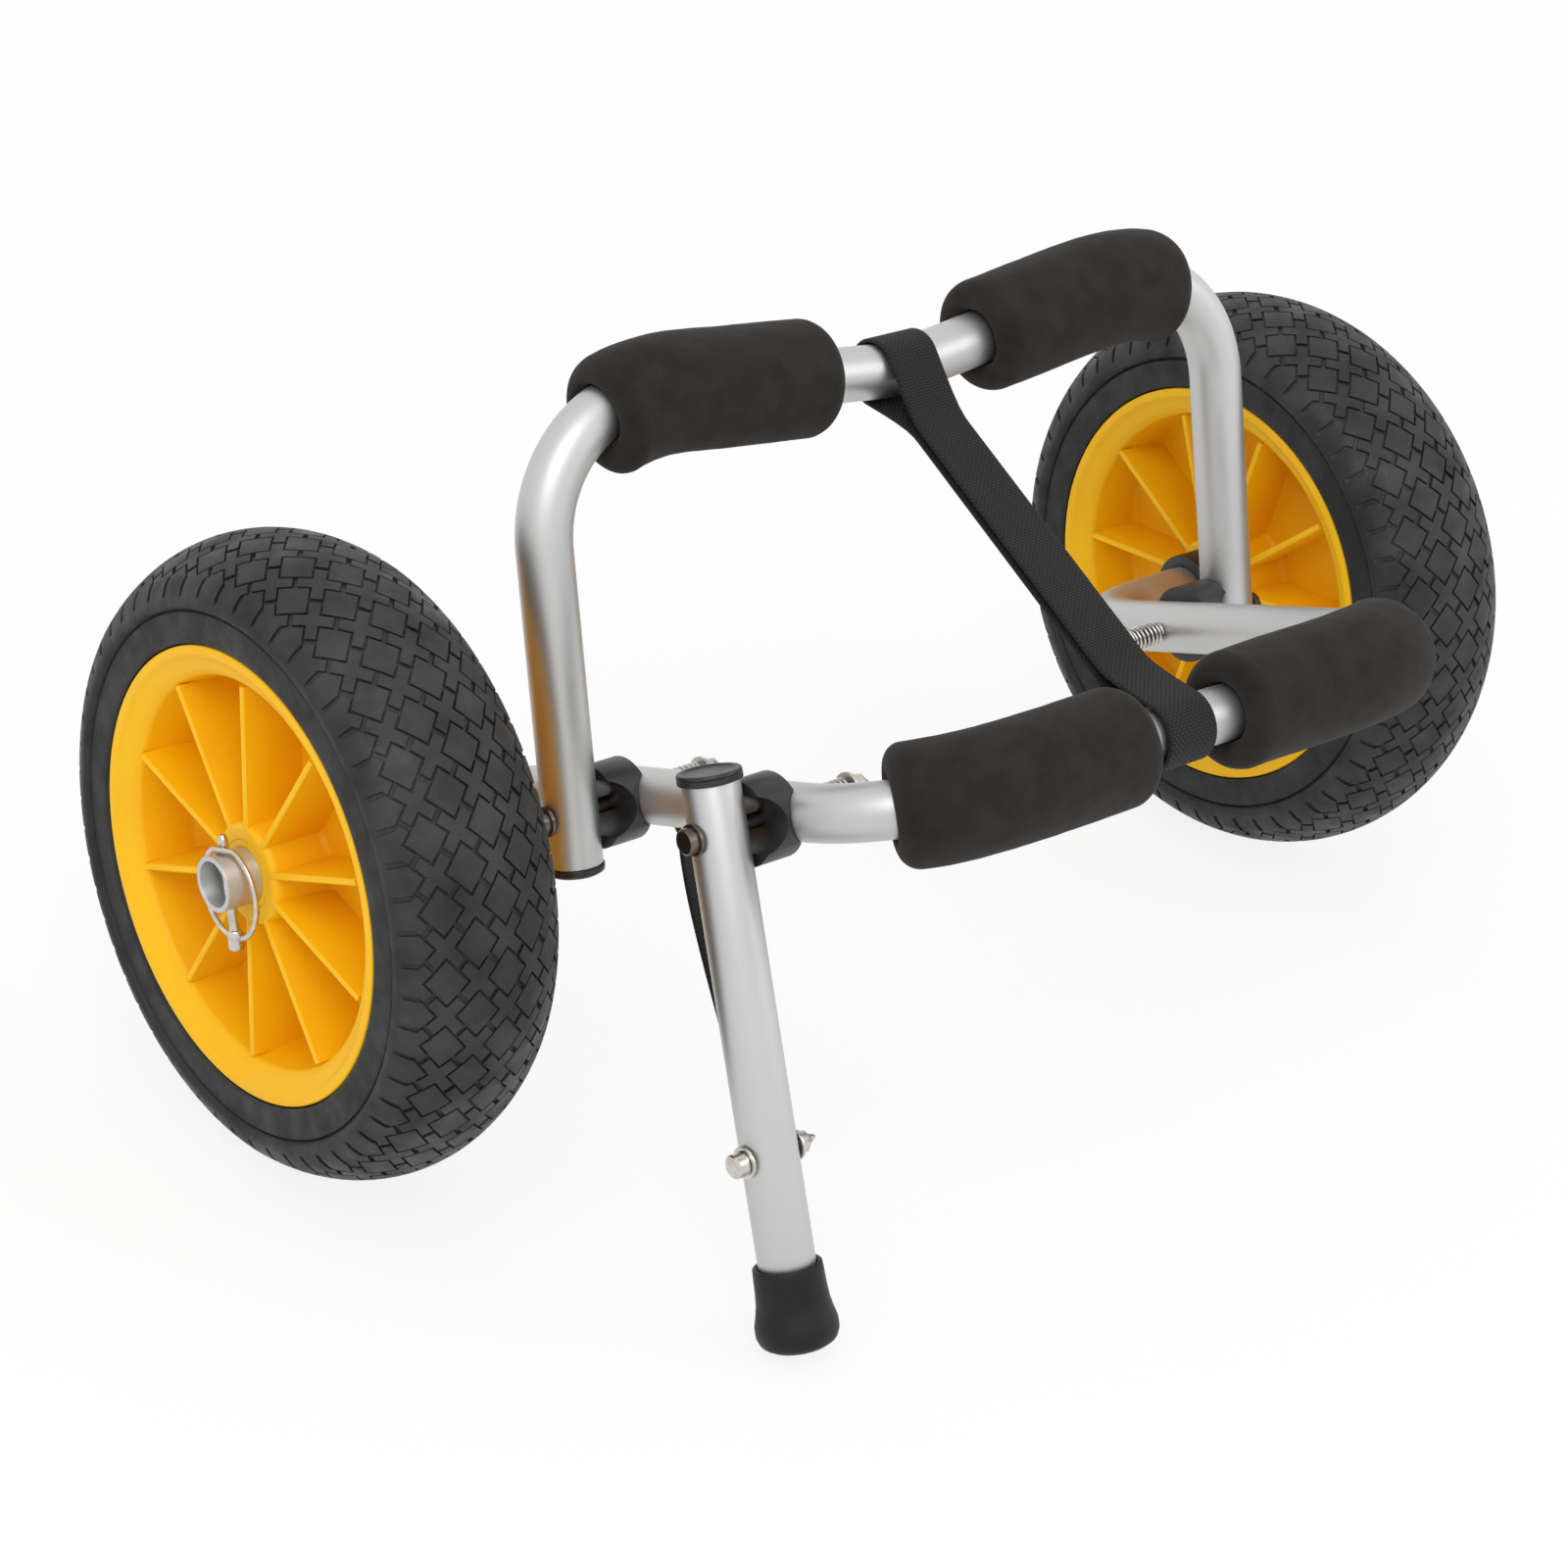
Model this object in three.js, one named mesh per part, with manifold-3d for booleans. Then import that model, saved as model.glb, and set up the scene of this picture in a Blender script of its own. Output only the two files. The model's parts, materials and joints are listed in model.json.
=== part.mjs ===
// Folding cart for carrying a kayak: two bent aluminium frames on a pair of airless wheels,
// four foam pads, a strap that holds the frames open and a swinging stand.
// Millimetres, +Z up, X along the axle, the low frame's bar towards -Y.

import * as THREE from 'three';
import { mergeVertices } from 'three/addons/utils/BufferGeometryUtils.js';
import Module from 'manifold-3d';

const wasm = await Module();
wasm.setup();

// Wheels
const wheelDiameter = 254;
const wheelSpacing = 518;
const tyreWidth = 72;
const tyreShoulderWidth = 62;
const tyreCrownRadius = 48;
const tyreWallRadius = 106;
const tyreBeadRadius = 103.5;
const treadPitches = 28;
const treadRowSpacing = 12;
const treadSideRows = 3;
const treadRelief = 1.6;
const treadTurn = 5.3;
const rimDiameter = 180;
const rimWidth = 68;
const rimLipWidth = 5;
const rimSeatDrop = 6;
const rimSeatSlope = 3;
const rimLipWall = 6;
const rimDishDepth = 5;
const rimWallThickness = 13;
const rimWallDraft = 2;
const webThickness = 8;
const ribThickness = 2.6;
const ribCount = 10;
const leftRibTurn = 28.5;
const rightRibTurn = 10.5;
const hubDiameter = 40;
const bushWall = 2.5;
const collarDiameter = 32;
const collarWidth = 17;

// Tubes
const tubeDiameter = 22;
const tubeWall = 2;
const frameBendRadius = 50;
const axleBendRadius = 38;
const axleOverhang = 44;

// Low frame, which carries the wheels
const lowerWidth = 294;
const lowerReach = 214;
const lowerRise = 23.1;

// High frame, which folds down over the low one
const frameSpacing = 32;
const pivotReach = 61;
const openAngle = 83.5;
const upperHeight = 159.5;
const upperSag = 20;
const upperTail = 19.5;
const sagBendRadius = 120;

// Foam pads
const padDiameter = 47;
const padLength = 109;
const padEndRadius = 8;
const padDimple = 3;
const upperPadStart = 42;
const lowerPadStart = 24.4;
const lowerPadShift = 5.4;

// Stand
const standSetback = 61;
const standAngle = 90;
const standTop = 19;
const crossBoltDrop = 123;
const footLength = 32;
const footTopDiameter = 26.4;
const footWaistDiameter = 27.6;
const footBulgeDiameter = 32;
const footBulgeHeight = 8;
const footWaistHeight = 16;
const footSoleDiameter = 22;
const footSocketDepth = 25;
const footEdgeHeightShare = 0.25;
const footEdgeWidthShare = 1 / 3;

// Saddles between the tubes
const saddleDiameter = 33;
const saddleGroove = 8;
const saddleHorn = 6;

// Bolts, springs and nuts
const boltDiameter = 6;
const boltHeadDiameter = 10;
const boltHeadHeight = 5;
const boltTip = 3;
const boltChamfer = 0.9;
const nutAcross = 10;
const nutHeight = 5;
const washerDiameter = 14;
const washerThickness = 1.5;
const springDiameter = 11;
const springWire = 1.2;
const springLength = 19;
const springCurls = 8;
const crossBoltDiameter = 5;
const crossHeadDiameter = 9.4;
const crossWasherDiameter = 12.5;
const crossWasherThickness = 1.2;
const crossNutAcross = 8;
const crossNutHeight = 4;
const crossBoltTip = 5;

// Lock pins and their rings
const lockPinInset = 7;
const lockPinLean = 18;
const lockPinDiameter = 4;
const lockPinRise = 18;
const lockPinHeadDiameter = 6.4;
const lockPinHeadHeight = 8;
const lockPinTip = 2.5;
const lockPinChamfer = 0.8;
const lockRingRadius = 18;
const lockRingDrop = 5;
const lockRingWire = 2.2;
const lockRingEndGap = 2;
const lockRingHole = 3.2;

// End caps
const capThickness = 3.5;
const capDiameter = 23;
const standCapThickness = 4;
const standCapDiameter = 24.6;
const capPlugLength = 12;
const capChamfer = 0.8;

// Straps
const strapWidth = 25;
const strapPly = 1.8;
const strapSlack = 0.5;
const strapNeck = 27;
const strapNeckThickness = 5;
const frameStrapSkew = 8;
const standStrapWidth = 10;
const standStrapReachShare = 0.93;
const standStrapLean = 1.1;
const standStrapTwist = 6;
const slotWidth = 13;
const slotHeight = 3.4;
const slotOffset = 3.2;

// Clearances and cutting
const gap = 0.3;
const runningGap = 0.08;
const padBoreGap = 0.7;
const overrun = 5;

// Facets
const tubeSides = 16;
const boreSides = 12;
const bendSteps = 7;
const padSides = 20;
const roundSides = 24;
const smallSides = 12;
const wheelSides = 40;
const tyreSides = 2 * treadPitches;
const curlSteps = 8;
const curlSides = 5;
const ringSteps = 36;
const ringSides = 6;
const twistSteps = 14;

// Sizes that follow from the ones above
const tubeRadius = tubeDiameter / 2;
const tubeBore = tubeRadius - tubeWall;
const wheelRadius = wheelDiameter / 2;
const rimRadius = rimDiameter / 2;
const hubEnd = rimWidth / 2 - rimDishDepth;
const boltRadius = boltDiameter / 2;
const boltHole = boltRadius + gap;
const legX = lowerWidth / 2;
const outerX = legX + frameSpacing;
const axleEnd = wheelSpacing / 2 + axleOverhang;
const pinX = axleEnd - lockPinInset;
const pinLean = THREE.MathUtils.degToRad(lockPinLean);
const ringHinge = lockRingRadius + lockRingDrop;
const standReach = lowerReach - standSetback;
const legInner = legX - tubeRadius;
const pivotRun = standReach - pivotReach;
const treadAngle = THREE.MathUtils.degToRad(treadTurn);
const axleHeight = wheelRadius * Math.cos(treadAngle);

// Colours and finishes
const aluminium = { color: 0xcfcfcb, roughness: 0.38, metalness: 0.9 };
const steel = { color: 0xb9b4a8, roughness: 0.3, metalness: 1 };
const rimPlastic = { color: 0xf9b000, roughness: 0.45, metalness: 0 };
const tyreRubber = { color: 0x2c2c2b, roughness: 0.85, metalness: 0 };
const blackPlastic = { color: 0x2b2b2d, roughness: 0.5, metalness: 0 };
const blackRubber = { color: 0x232323, roughness: 0.8, metalness: 0 };
const foam = { color: 0x2b2927, roughness: 0.95, metalness: 0 };
const webbing = { color: 0x1f1f1e, roughness: 0.9, metalness: 0 };

// The radius of a cutter with flat sides that stays clear of a round of this radius
function aroundRound(radius, sides) {
  return radius / Math.cos(Math.PI / sides);
}

// A closed solid ready to be cut or joined, with the pole slivers of a lathe left out
function toSolid(geometry) {
  const bare = geometry.clone();
  bare.deleteAttribute('normal');
  bare.deleteAttribute('uv');
  const merged = mergeVertices(bare);
  const kept = [];
  for (let i = 0; i < merged.index.count; i += 3) {
    const [a, b, c] = [0, 1, 2].map((k) => merged.index.getX(i + k));
    if (a !== b && b !== c && c !== a) kept.push(a, b, c);
  }
  const vertProperties = new Float32Array(merged.attributes.position.array);
  return new wasm.Manifold(new wasm.Mesh({ numProp: 3, vertProperties, triVerts: new Uint32Array(kept) }));
}

// The geometry of a solid that has been cut or joined
function toGeometry(solid) {
  const mesh = solid.getMesh();
  const geometry = new THREE.BufferGeometry();
  geometry.setAttribute('position', new THREE.BufferAttribute(new Float32Array(mesh.vertProperties), 3));
  geometry.setIndex(new THREE.BufferAttribute(new Uint32Array(mesh.triVerts), 1));
  geometry.computeVertexNormals();
  return geometry;
}

function cut(geometry, ...cutters) {
  return toGeometry(cutters.reduce((solid, cutter) => solid.subtract(toSolid(cutter)), toSolid(geometry)));
}

function join(geometry, ...others) {
  return toGeometry(others.reduce((solid, other) => solid.add(toSolid(other)), toSolid(geometry)));
}

// One named piece with its own material
function piece(name, geometry, finish, parent) {
  const mesh = new THREE.Mesh(geometry, new THREE.MeshStandardMaterial(finish));
  mesh.name = name;
  parent.add(mesh);
  return mesh;
}

// A turned piece about the X axis: the profile is a list of [distance along X, radius]
function turnedAlongX(profile, sides) {
  const points = profile.map(([along, radius]) => new THREE.Vector2(radius, along));
  return new THREE.LatheGeometry(points, sides).rotateZ(-Math.PI / 2);
}

// A turned piece about the Z axis: the profile is a list of [height, radius]
function turnedAlongZ(profile, sides) {
  const points = profile.map(([along, radius]) => new THREE.Vector2(radius, along));
  return new THREE.LatheGeometry(points, sides).rotateX(Math.PI / 2);
}

// A plain round bar used as a cutter, centred on the origin and lying along X
function rodAlongX(radius, length, sides) {
  return new THREE.CylinderGeometry(radius, radius, length, sides).rotateZ(Math.PI / 2);
}

// The centre line of a bent or wound rod: a ring of the rod stands at each of its stations
class Centreline extends THREE.Curve {
  constructor(points, tangents) {
    super();
    this.points = points;
    this.tangents = tangents;
    this.steps = points.length - 1;
  }

  getPoint(t, target = new THREE.Vector3()) {
    const low = Math.min(Math.floor(t * this.steps), this.steps - 1);
    return target.lerpVectors(this.points[low], this.points[low + 1], t * this.steps - low);
  }

  getPointAt(t, target) {
    return this.getPoint(t, target);
  }

  getTangentAt(t, target = new THREE.Vector3()) {
    return target.copy(this.tangents[Math.round(t * this.steps)]);
  }

  // The place and direction at a distance along the line
  placeAt(distance) {
    let left = distance;
    let low = 0;
    while (low < this.steps - 1 && left > this.points[low].distanceTo(this.points[low + 1])) {
      left -= this.points[low].distanceTo(this.points[low + 1]);
      low += 1;
    }
    const share = left / this.points[low].distanceTo(this.points[low + 1]);
    const point = this.points[low].clone().lerp(this.points[low + 1], share);
    const tangent = this.tangents[low].clone().lerp(this.tangents[low + 1], share).normalize();
    return { point, tangent };
  }

  get length() {
    return this.points.slice(1).reduce((sum, point, i) => sum + point.distanceTo(this.points[i]), 0);
  }
}

// Straight runs between corners, with a true arc of the given radius at each inner corner
function bentLine(corners, radii) {
  const points = [corners[0].clone()];
  const tangents = [corners[1].clone().sub(corners[0]).normalize()];
  for (let i = 1; i < corners.length - 1; i += 1) {
    const before = corners[i].clone().sub(corners[i - 1]).normalize();
    const after = corners[i + 1].clone().sub(corners[i]).normalize();
    const turn = before.angleTo(after);
    const axis = before.clone().cross(after).normalize();
    const start = corners[i].clone().addScaledVector(before, -radii[i - 1] * Math.tan(turn / 2));
    const centre = start.clone().addScaledVector(axis.clone().cross(before), radii[i - 1]);
    const steps = Math.max(2, Math.round((bendSteps * turn) / (Math.PI / 2)));
    for (let k = 0; k <= steps; k += 1) {
      const angle = (turn * k) / steps;
      points.push(start.clone().sub(centre).applyAxisAngle(axis, angle).add(centre));
      tangents.push(before.clone().applyAxisAngle(axis, angle));
    }
  }
  points.push(corners.at(-1).clone());
  tangents.push(tangents.at(-1).clone());
  return new Centreline(points, tangents);
}

// A rod or, with a bore, a tube along a centre line
function rodAlong(line, radius, sides, bore = 0) {
  const section = new THREE.Shape().absarc(0, 0, radius, 0, 2 * Math.PI);
  const ring = new THREE.Shape(section.getSpacedPoints(sides).slice(0, -1));
  if (bore > 0) {
    const hole = new THREE.Path().absarc(0, 0, bore, 0, 2 * Math.PI);
    ring.holes.push(new THREE.Path(hole.getSpacedPoints(boreSides).slice(0, -1)));
  }
  return new THREE.ExtrudeGeometry(ring, { steps: line.steps, extrudePath: line, curveSegments: sides });
}

const cart = new THREE.Group();

// The low frame's group: its legs lie along local Y and its bar is at the front
const lower = new THREE.Group();
lower.rotation.x = -THREE.MathUtils.degToRad(lowerRise);
cart.add(lower);

// The high frame's group stands on the pivots, with its legs along local Z
const upper = new THREE.Group();
upper.position.set(0, -pivotReach, 0);
upper.rotation.x = THREE.MathUtils.degToRad(90 - openAngle);
lower.add(upper);

// The stand's group hangs from its own bolt beside the low frame's left leg
const stand = new THREE.Group();
stand.position.set(-outerX, -standReach, 0);
stand.rotation.x = THREE.MathUtils.degToRad(standAngle - 90);
lower.add(stand);

// Low frame: one tube from wheel to wheel, drilled for the pivots, the stand and the lock pins
const lowerLine = bentLine(
  [
    new THREE.Vector3(-axleEnd, 0, 0),
    new THREE.Vector3(-legX, 0, 0),
    new THREE.Vector3(-legX, -lowerReach, 0),
    new THREE.Vector3(legX, -lowerReach, 0),
    new THREE.Vector3(legX, 0, 0),
    new THREE.Vector3(axleEnd, 0, 0),
  ],
  [axleBendRadius, frameBendRadius, frameBendRadius, axleBendRadius],
);

// A cutter for a bolt hole through a tube, at a place along the tube's leg
function boltCutter(x, y, z, radius) {
  const length = tubeDiameter + 2 * overrun;
  return rodAlongX(aroundRound(radius, smallSides), length, smallSides).translate(x, y, z);
}

// A cutter for the hole of a lock pin, whose top leans back
function lockPinCutter(side) {
  const radius = aroundRound(lockPinDiameter / 2 + gap, smallSides);
  const length = tubeDiameter + 2 * overrun;
  const cutter = new THREE.CylinderGeometry(radius, radius, length, smallSides).rotateX(Math.PI / 2);
  return cutter.translate(side * pinX, 0, 0).rotateX(-lower.rotation.x - pinLean);
}

const lowerFrame = cut(
  rodAlong(lowerLine, tubeRadius, tubeSides, tubeBore),
  boltCutter(-legX, -pivotReach, 0, boltHole),
  boltCutter(legX, -pivotReach, 0, boltHole),
  boltCutter(-legX, -standReach, 0, boltHole),
  lockPinCutter(-1),
  lockPinCutter(1),
);
piece('lower_frame', lowerFrame, aluminium, lower);

// High frame: one tube whose top bar sags to the middle, drilled for the pivot bolts
const upperLine = bentLine(
  [
    new THREE.Vector3(-outerX, 0, -upperTail),
    new THREE.Vector3(-outerX, 0, upperHeight),
    new THREE.Vector3(0, 0, upperHeight - upperSag),
    new THREE.Vector3(outerX, 0, upperHeight),
    new THREE.Vector3(outerX, 0, -upperTail),
  ],
  [frameBendRadius, sagBendRadius, frameBendRadius],
);
const upperFrame = cut(
  rodAlong(upperLine, tubeRadius, tubeSides, tubeBore),
  boltCutter(-outerX, 0, 0, boltHole),
  boltCutter(outerX, 0, 0, boltHole),
);
piece('upper_frame', upperFrame, aluminium, upper);

// Foam pad: turned straight with rounded, dimpled ends, then bent along the bar that it sleeves
function foamPad(line, start, side) {
  const radius = padDiameter / 2;
  const bore = aroundRound(tubeRadius + padBoreGap, padSides);
  const arcSteps = 3;
  const bodySteps = 9;
  const profile = [];
  for (let k = 0; k <= arcSteps; k += 1) {
    const angle = ((Math.PI / 2) * k) / arcSteps;
    const along = padEndRadius * (1 - Math.sin(angle));
    profile.push([along, radius - padEndRadius * (1 - Math.cos(angle))]);
  }
  const rim = profile.reverse();
  const straight = padLength - 2 * padEndRadius;
  const stops = [];
  for (let k = 0; k <= bodySteps; k += 1) stops.push(padEndRadius + (straight * k) / bodySteps);
  const body = stops.slice(1, -1).map((along) => [along, radius]);
  const farRim = rim.map(([along, r]) => [padLength - along, r]).reverse();
  const hollow = stops.map((along) => [along, bore]).reverse();
  const outline = [
    [padDimple, bore],
    ...rim,
    ...body,
    ...farRim,
    [padLength - padDimple, bore],
    ...hollow,
    [padDimple, bore],
  ];
  const pad = turnedAlongX(outline, padSides);
  const place = pad.attributes.position;
  const plane = new THREE.Vector3().crossVectors(line.tangents[0], line.tangents.at(bendSteps)).normalize();
  for (let i = 0; i < place.count; i += 1) {
    const distance = line.length / 2 + side * (start + place.getX(i));
    const { point, tangent } = line.placeAt(distance);
    const across = plane.clone().cross(tangent).normalize();
    point.addScaledVector(across, side * place.getY(i)).addScaledVector(plane, place.getZ(i));
    place.setXYZ(i, point.x, point.y, point.z);
  }
  pad.computeVertexNormals();
  return pad;
}

for (const [name, side] of [['left', -1], ['right', 1]]) {
  piece(`pad_upper_${name}`, foamPad(upperLine, upperPadStart, side), foam, upper);
  const lowerStart = lowerPadStart - side * lowerPadShift;
  piece(`pad_lower_${name}`, foamPad(lowerLine, lowerStart, side), foam, lower);
}

// End cap: a flat head over the tube's end with a plug that fills its bore, pointing up
function endCap(diameter, thickness) {
  return turnedAlongZ(
    [
      [-capPlugLength, 0],
      [-capPlugLength, tubeBore * Math.cos(Math.PI / boreSides) - gap],
      [0, tubeBore * Math.cos(Math.PI / boreSides) - gap],
      [0, diameter / 2],
      [thickness - capChamfer, diameter / 2],
      [thickness, diameter / 2 - capChamfer],
      [thickness, 0],
    ],
    roundSides,
  );
}

for (const [name, side] of [['left', -1], ['right', 1]]) {
  const cap = piece(`cap_upper_${name}`, endCap(capDiameter, capThickness), blackPlastic, upper);
  cap.rotation.x = Math.PI;
  cap.position.set(side * outerX, 0, -upperTail - gap);
}

// Saddle spacer: a plastic cylinder on the bolt, hollowed at both ends for the tubes.
// The crossing tube rests on the horns when open and drops into the groove when it lies parallel.
function saddle() {
  const between = frameSpacing - tubeDiameter;
  const outerFace = between - gap;
  const innerFace = -saddleHorn;
  const boltBore = aroundRound(boltHole, smallSides);
  const body = turnedAlongX(
    [
      [innerFace, boltBore],
      [innerFace, saddleDiameter / 2],
      [outerFace, saddleDiameter / 2],
      [outerFace, boltBore],
      [innerFace, boltBore],
    ],
    roundSides,
  );
  const grooveRadius = aroundRound(tubeRadius + gap, roundSides);
  const length = saddleDiameter + 2 * overrun;
  const inner = new THREE.CylinderGeometry(grooveRadius, grooveRadius, length, roundSides);
  const outer = inner.clone().translate(outerFace - saddleGroove + grooveRadius, 0, 0);
  inner.translate(-tubeRadius, 0, 0);
  return cut(body, inner, outer);
}

// Compression spring: one unbroken wire about X with its ends turned straight into the seats
function coilSpring() {
  const mean = (springDiameter - springWire) / 2;
  const length = springLength - 2 * gap;
  const wound = length - 2 * springWire;
  const steps = springCurls * curlSteps;
  const points = [new THREE.Vector3(0, mean, 0)];
  const tangents = [new THREE.Vector3(1, 0, 0)];
  for (let k = 0; k <= steps; k += 1) {
    const angle = (2 * Math.PI * k) / curlSteps;
    const along = springWire + (wound * k) / steps;
    points.push(new THREE.Vector3(along, mean * Math.cos(angle), mean * Math.sin(angle)));
    const pitch = wound / springCurls / (2 * Math.PI);
    tangents.push(new THREE.Vector3(pitch, -mean * Math.sin(angle), mean * Math.cos(angle)).normalize());
  }
  tangents[1].add(tangents[0]).normalize();
  tangents[steps + 1].add(tangents[0]).normalize();
  points.push(new THREE.Vector3(length, mean, 0));
  tangents.push(tangents[0].clone());
  return new Centreline(points, tangents);
}

// The least distance between the wire of one curl and the wire of any other
function leastGap(line, wire, stepsPerCurl) {
  let least = Infinity;
  line.points.forEach((point, i) => {
    for (let k = i + stepsPerCurl - 1; k < line.points.length; k += 1) {
      least = Math.min(least, point.distanceTo(line.points[k]) - wire);
    }
  });
  return least;
}

const springLine = coilSpring();
const curlGap = leastGap(springLine, springWire, curlSteps);
console.log(`least gap between the spring's curls: ${curlGap.toFixed(2)} mm`);

// Bolt about X: a round head at the low end, a plain shank and a pointed tip
function bolt(headDiameter, headHeight, diameter, length) {
  return turnedAlongX(
    [
      [-headHeight, 0],
      [-headHeight, headDiameter / 2 - boltChamfer],
      [boltChamfer - headHeight, headDiameter / 2],
      [0, headDiameter / 2],
      [0, diameter / 2],
      [length - boltChamfer, diameter / 2],
      [length, diameter / 2 - boltChamfer],
      [length, 0],
    ],
    smallSides,
  );
}

function washer(diameter, thickness, bore) {
  const inner = aroundRound(bore, roundSides);
  return turnedAlongX(
    [[0, inner], [0, diameter / 2], [thickness, diameter / 2], [thickness, inner], [0, inner]],
    roundSides,
  );
}

// Hexagon nut about X
function nut(across, height, bore) {
  const corner = across / 2 / Math.cos(Math.PI / 6);
  const hexagon = new THREE.Shape();
  for (let k = 0; k < 6; k += 1) {
    const angle = (Math.PI * k) / 3;
    const move = k === 0 ? 'moveTo' : 'lineTo';
    hexagon[move](corner * Math.cos(angle), corner * Math.sin(angle));
  }
  hexagon.closePath();
  const hole = new THREE.Path().absarc(0, 0, aroundRound(bore, smallSides), 0, 2 * Math.PI);
  hexagon.holes.push(new THREE.Path(hole.getSpacedPoints(smallSides).slice(0, -1)));
  return new THREE.ExtrudeGeometry(hexagon, { depth: height, bevelEnabled: false }).rotateY(Math.PI / 2);
}

// A pivot: saddle, bolt, spring, washer and nut, built outwards along X and turned for the left side.
// The room is what a strap's eye takes up on the bolt, between the leg and the spring.
function pivot(names, side, reach, room) {
  const group = new THREE.Group();
  group.position.set(0, -reach, 0);
  group.rotation.z = side < 0 ? Math.PI : 0;
  lower.add(group);

  const block = piece(names.saddle, saddle(), blackPlastic, group);
  block.position.x = legX + tubeRadius;

  const seat = legInner - room;
  const washerX = seat - springLength - washerThickness;
  const nutX = washerX - gap - nutHeight;
  const shankLength = outerX + tubeRadius + gap - nutX + boltTip;
  const shank = bolt(boltHeadDiameter, boltHeadHeight, boltDiameter, shankLength);
  const screw = piece(names.bolt, shank, steel, group);
  screw.rotation.z = Math.PI;
  screw.position.x = outerX + tubeRadius + gap;

  const spring = piece(names.spring, rodAlong(springLine, springWire / 2, curlSides), steel, group);
  spring.position.x = seat - springLength + gap;

  const plate = piece(names.washer, washer(washerDiameter, washerThickness, boltHole), steel, group);
  plate.position.x = washerX;

  const hexagon = piece(names.nut, nut(nutAcross, nutHeight, boltHole), steel, group);
  hexagon.position.x = nutX;
}

function pivotNames(start, end) {
  const kinds = ['saddle', 'bolt', 'spring', 'washer', 'nut'];
  return Object.fromEntries(kinds.map((kind) => [kind, `${start}_${kind}${end}`]));
}

pivot(pivotNames('pivot', '_left'), -1, pivotReach, strapPly + gap);
pivot(pivotNames('pivot', '_right'), 1, pivotReach, 0);
pivot(pivotNames('stand', ''), -1, standReach, 0);

// Rubber foot: a socket for the stand's tube and a flared, rounded sole; heights above the sole
const footSocket = aroundRound(tubeRadius + gap, roundSides);
const footEdge = footSoleDiameter + (footBulgeDiameter - footSoleDiameter) * footEdgeWidthShare * 2;
const footOutline = [
  [0, 0],
  [0, footSoleDiameter / 2],
  [footBulgeHeight * footEdgeHeightShare, footEdge / 2],
  [footBulgeHeight, footBulgeDiameter / 2],
  [footWaistHeight, footWaistDiameter / 2],
  [footLength, footTopDiameter / 2],
  [footLength, footSocket],
  [footLength - footSocketDepth, footSocket],
  [footLength - footSocketDepth, 0],
];

// The stand is as long as it must be for the lowest point of its tilted foot to meet the ground
const standTilt = THREE.MathUtils.degToRad(lowerRise + 90 - standAngle);
const standHeight = axleHeight + standReach * Math.sin(THREE.MathUtils.degToRad(lowerRise));
const footDrops = footOutline.map(([height, r]) => r * Math.sin(standTilt) - height * Math.cos(standTilt));
const soleDrop = (standHeight - Math.max(...footDrops)) / Math.cos(standTilt);
const tubeDrop = soleDrop - (footLength - footSocketDepth) - gap;

piece('stand_foot', turnedAlongZ(footOutline, roundSides), blackRubber, stand).position.z = -soleDrop;

const standLine = bentLine([new THREE.Vector3(0, 0, -tubeDrop), new THREE.Vector3(0, 0, standTop)], []);
const crossHole = crossBoltDiameter / 2 + gap;

// The stand's strap runs from a loop on the cross bolt, inside the tube, out through a slot in the
// tube's rear and up to an eye on the left pivot bolt; it turns a quarter round on the way
const strapRoot = new THREE.Vector3(0, 0, -crossBoltDrop);
const strapTop = new THREE.Vector3(outerX - legInner + gap + strapPly / 2, pivotRun, 0);
strapTop.applyAxisAngle(new THREE.Vector3(1, 0, 0), -stand.rotation.x);
const strapRun = strapTop.clone().sub(strapRoot).setX(0);
const strapAlong = strapRun.clone().normalize();
const slotCutter = new THREE.BoxGeometry(slotWidth, slotHeight, tubeDiameter);
slotCutter.translate(slotOffset, 0, tubeDiameter / 2 + crossBoltDiameter);
slotCutter.rotateX(-Math.atan2(strapAlong.y, strapAlong.z)).translate(...strapRoot.toArray());

const standTube = cut(
  rodAlong(standLine, tubeRadius, tubeSides, tubeBore),
  boltCutter(0, 0, 0, boltHole),
  boltCutter(0, 0, -crossBoltDrop, crossHole),
  slotCutter,
);
piece('stand_tube', standTube, aluminium, stand);
const standCap = endCap(standCapDiameter, standCapThickness);
piece('stand_cap', standCap, blackPlastic, stand).position.z = standTop + gap;

// Cross bolt of the stand, which carries the strap's loop inside the tube
const crossSeat = tubeRadius + gap;
const crossWasher = washer(crossWasherDiameter, crossWasherThickness, crossHole);
const crossNutX = crossSeat + crossWasherThickness + gap;
const crossHeadX = -crossNutX;
const crossLength = crossNutX - crossHeadX + crossNutHeight + crossBoltTip;
const crossBolt = bolt(crossHeadDiameter, boltHeadHeight, crossBoltDiameter, crossLength);
piece('stand_cross_bolt', crossBolt, steel, stand).position.set(crossHeadX, 0, -crossBoltDrop);
piece('stand_cross_washer', crossWasher, steel, stand).position.set(crossSeat, 0, -crossBoltDrop);
const headWasher = piece('stand_cross_head_washer', crossWasher.clone(), steel, stand);
headWasher.position.set(-crossSeat - crossWasherThickness, 0, -crossBoltDrop);
const crossNut = nut(crossNutAcross, crossNutHeight, crossHole);
piece('stand_cross_nut', crossNut, steel, stand).position.set(crossNutX, 0, -crossBoltDrop);

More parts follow.
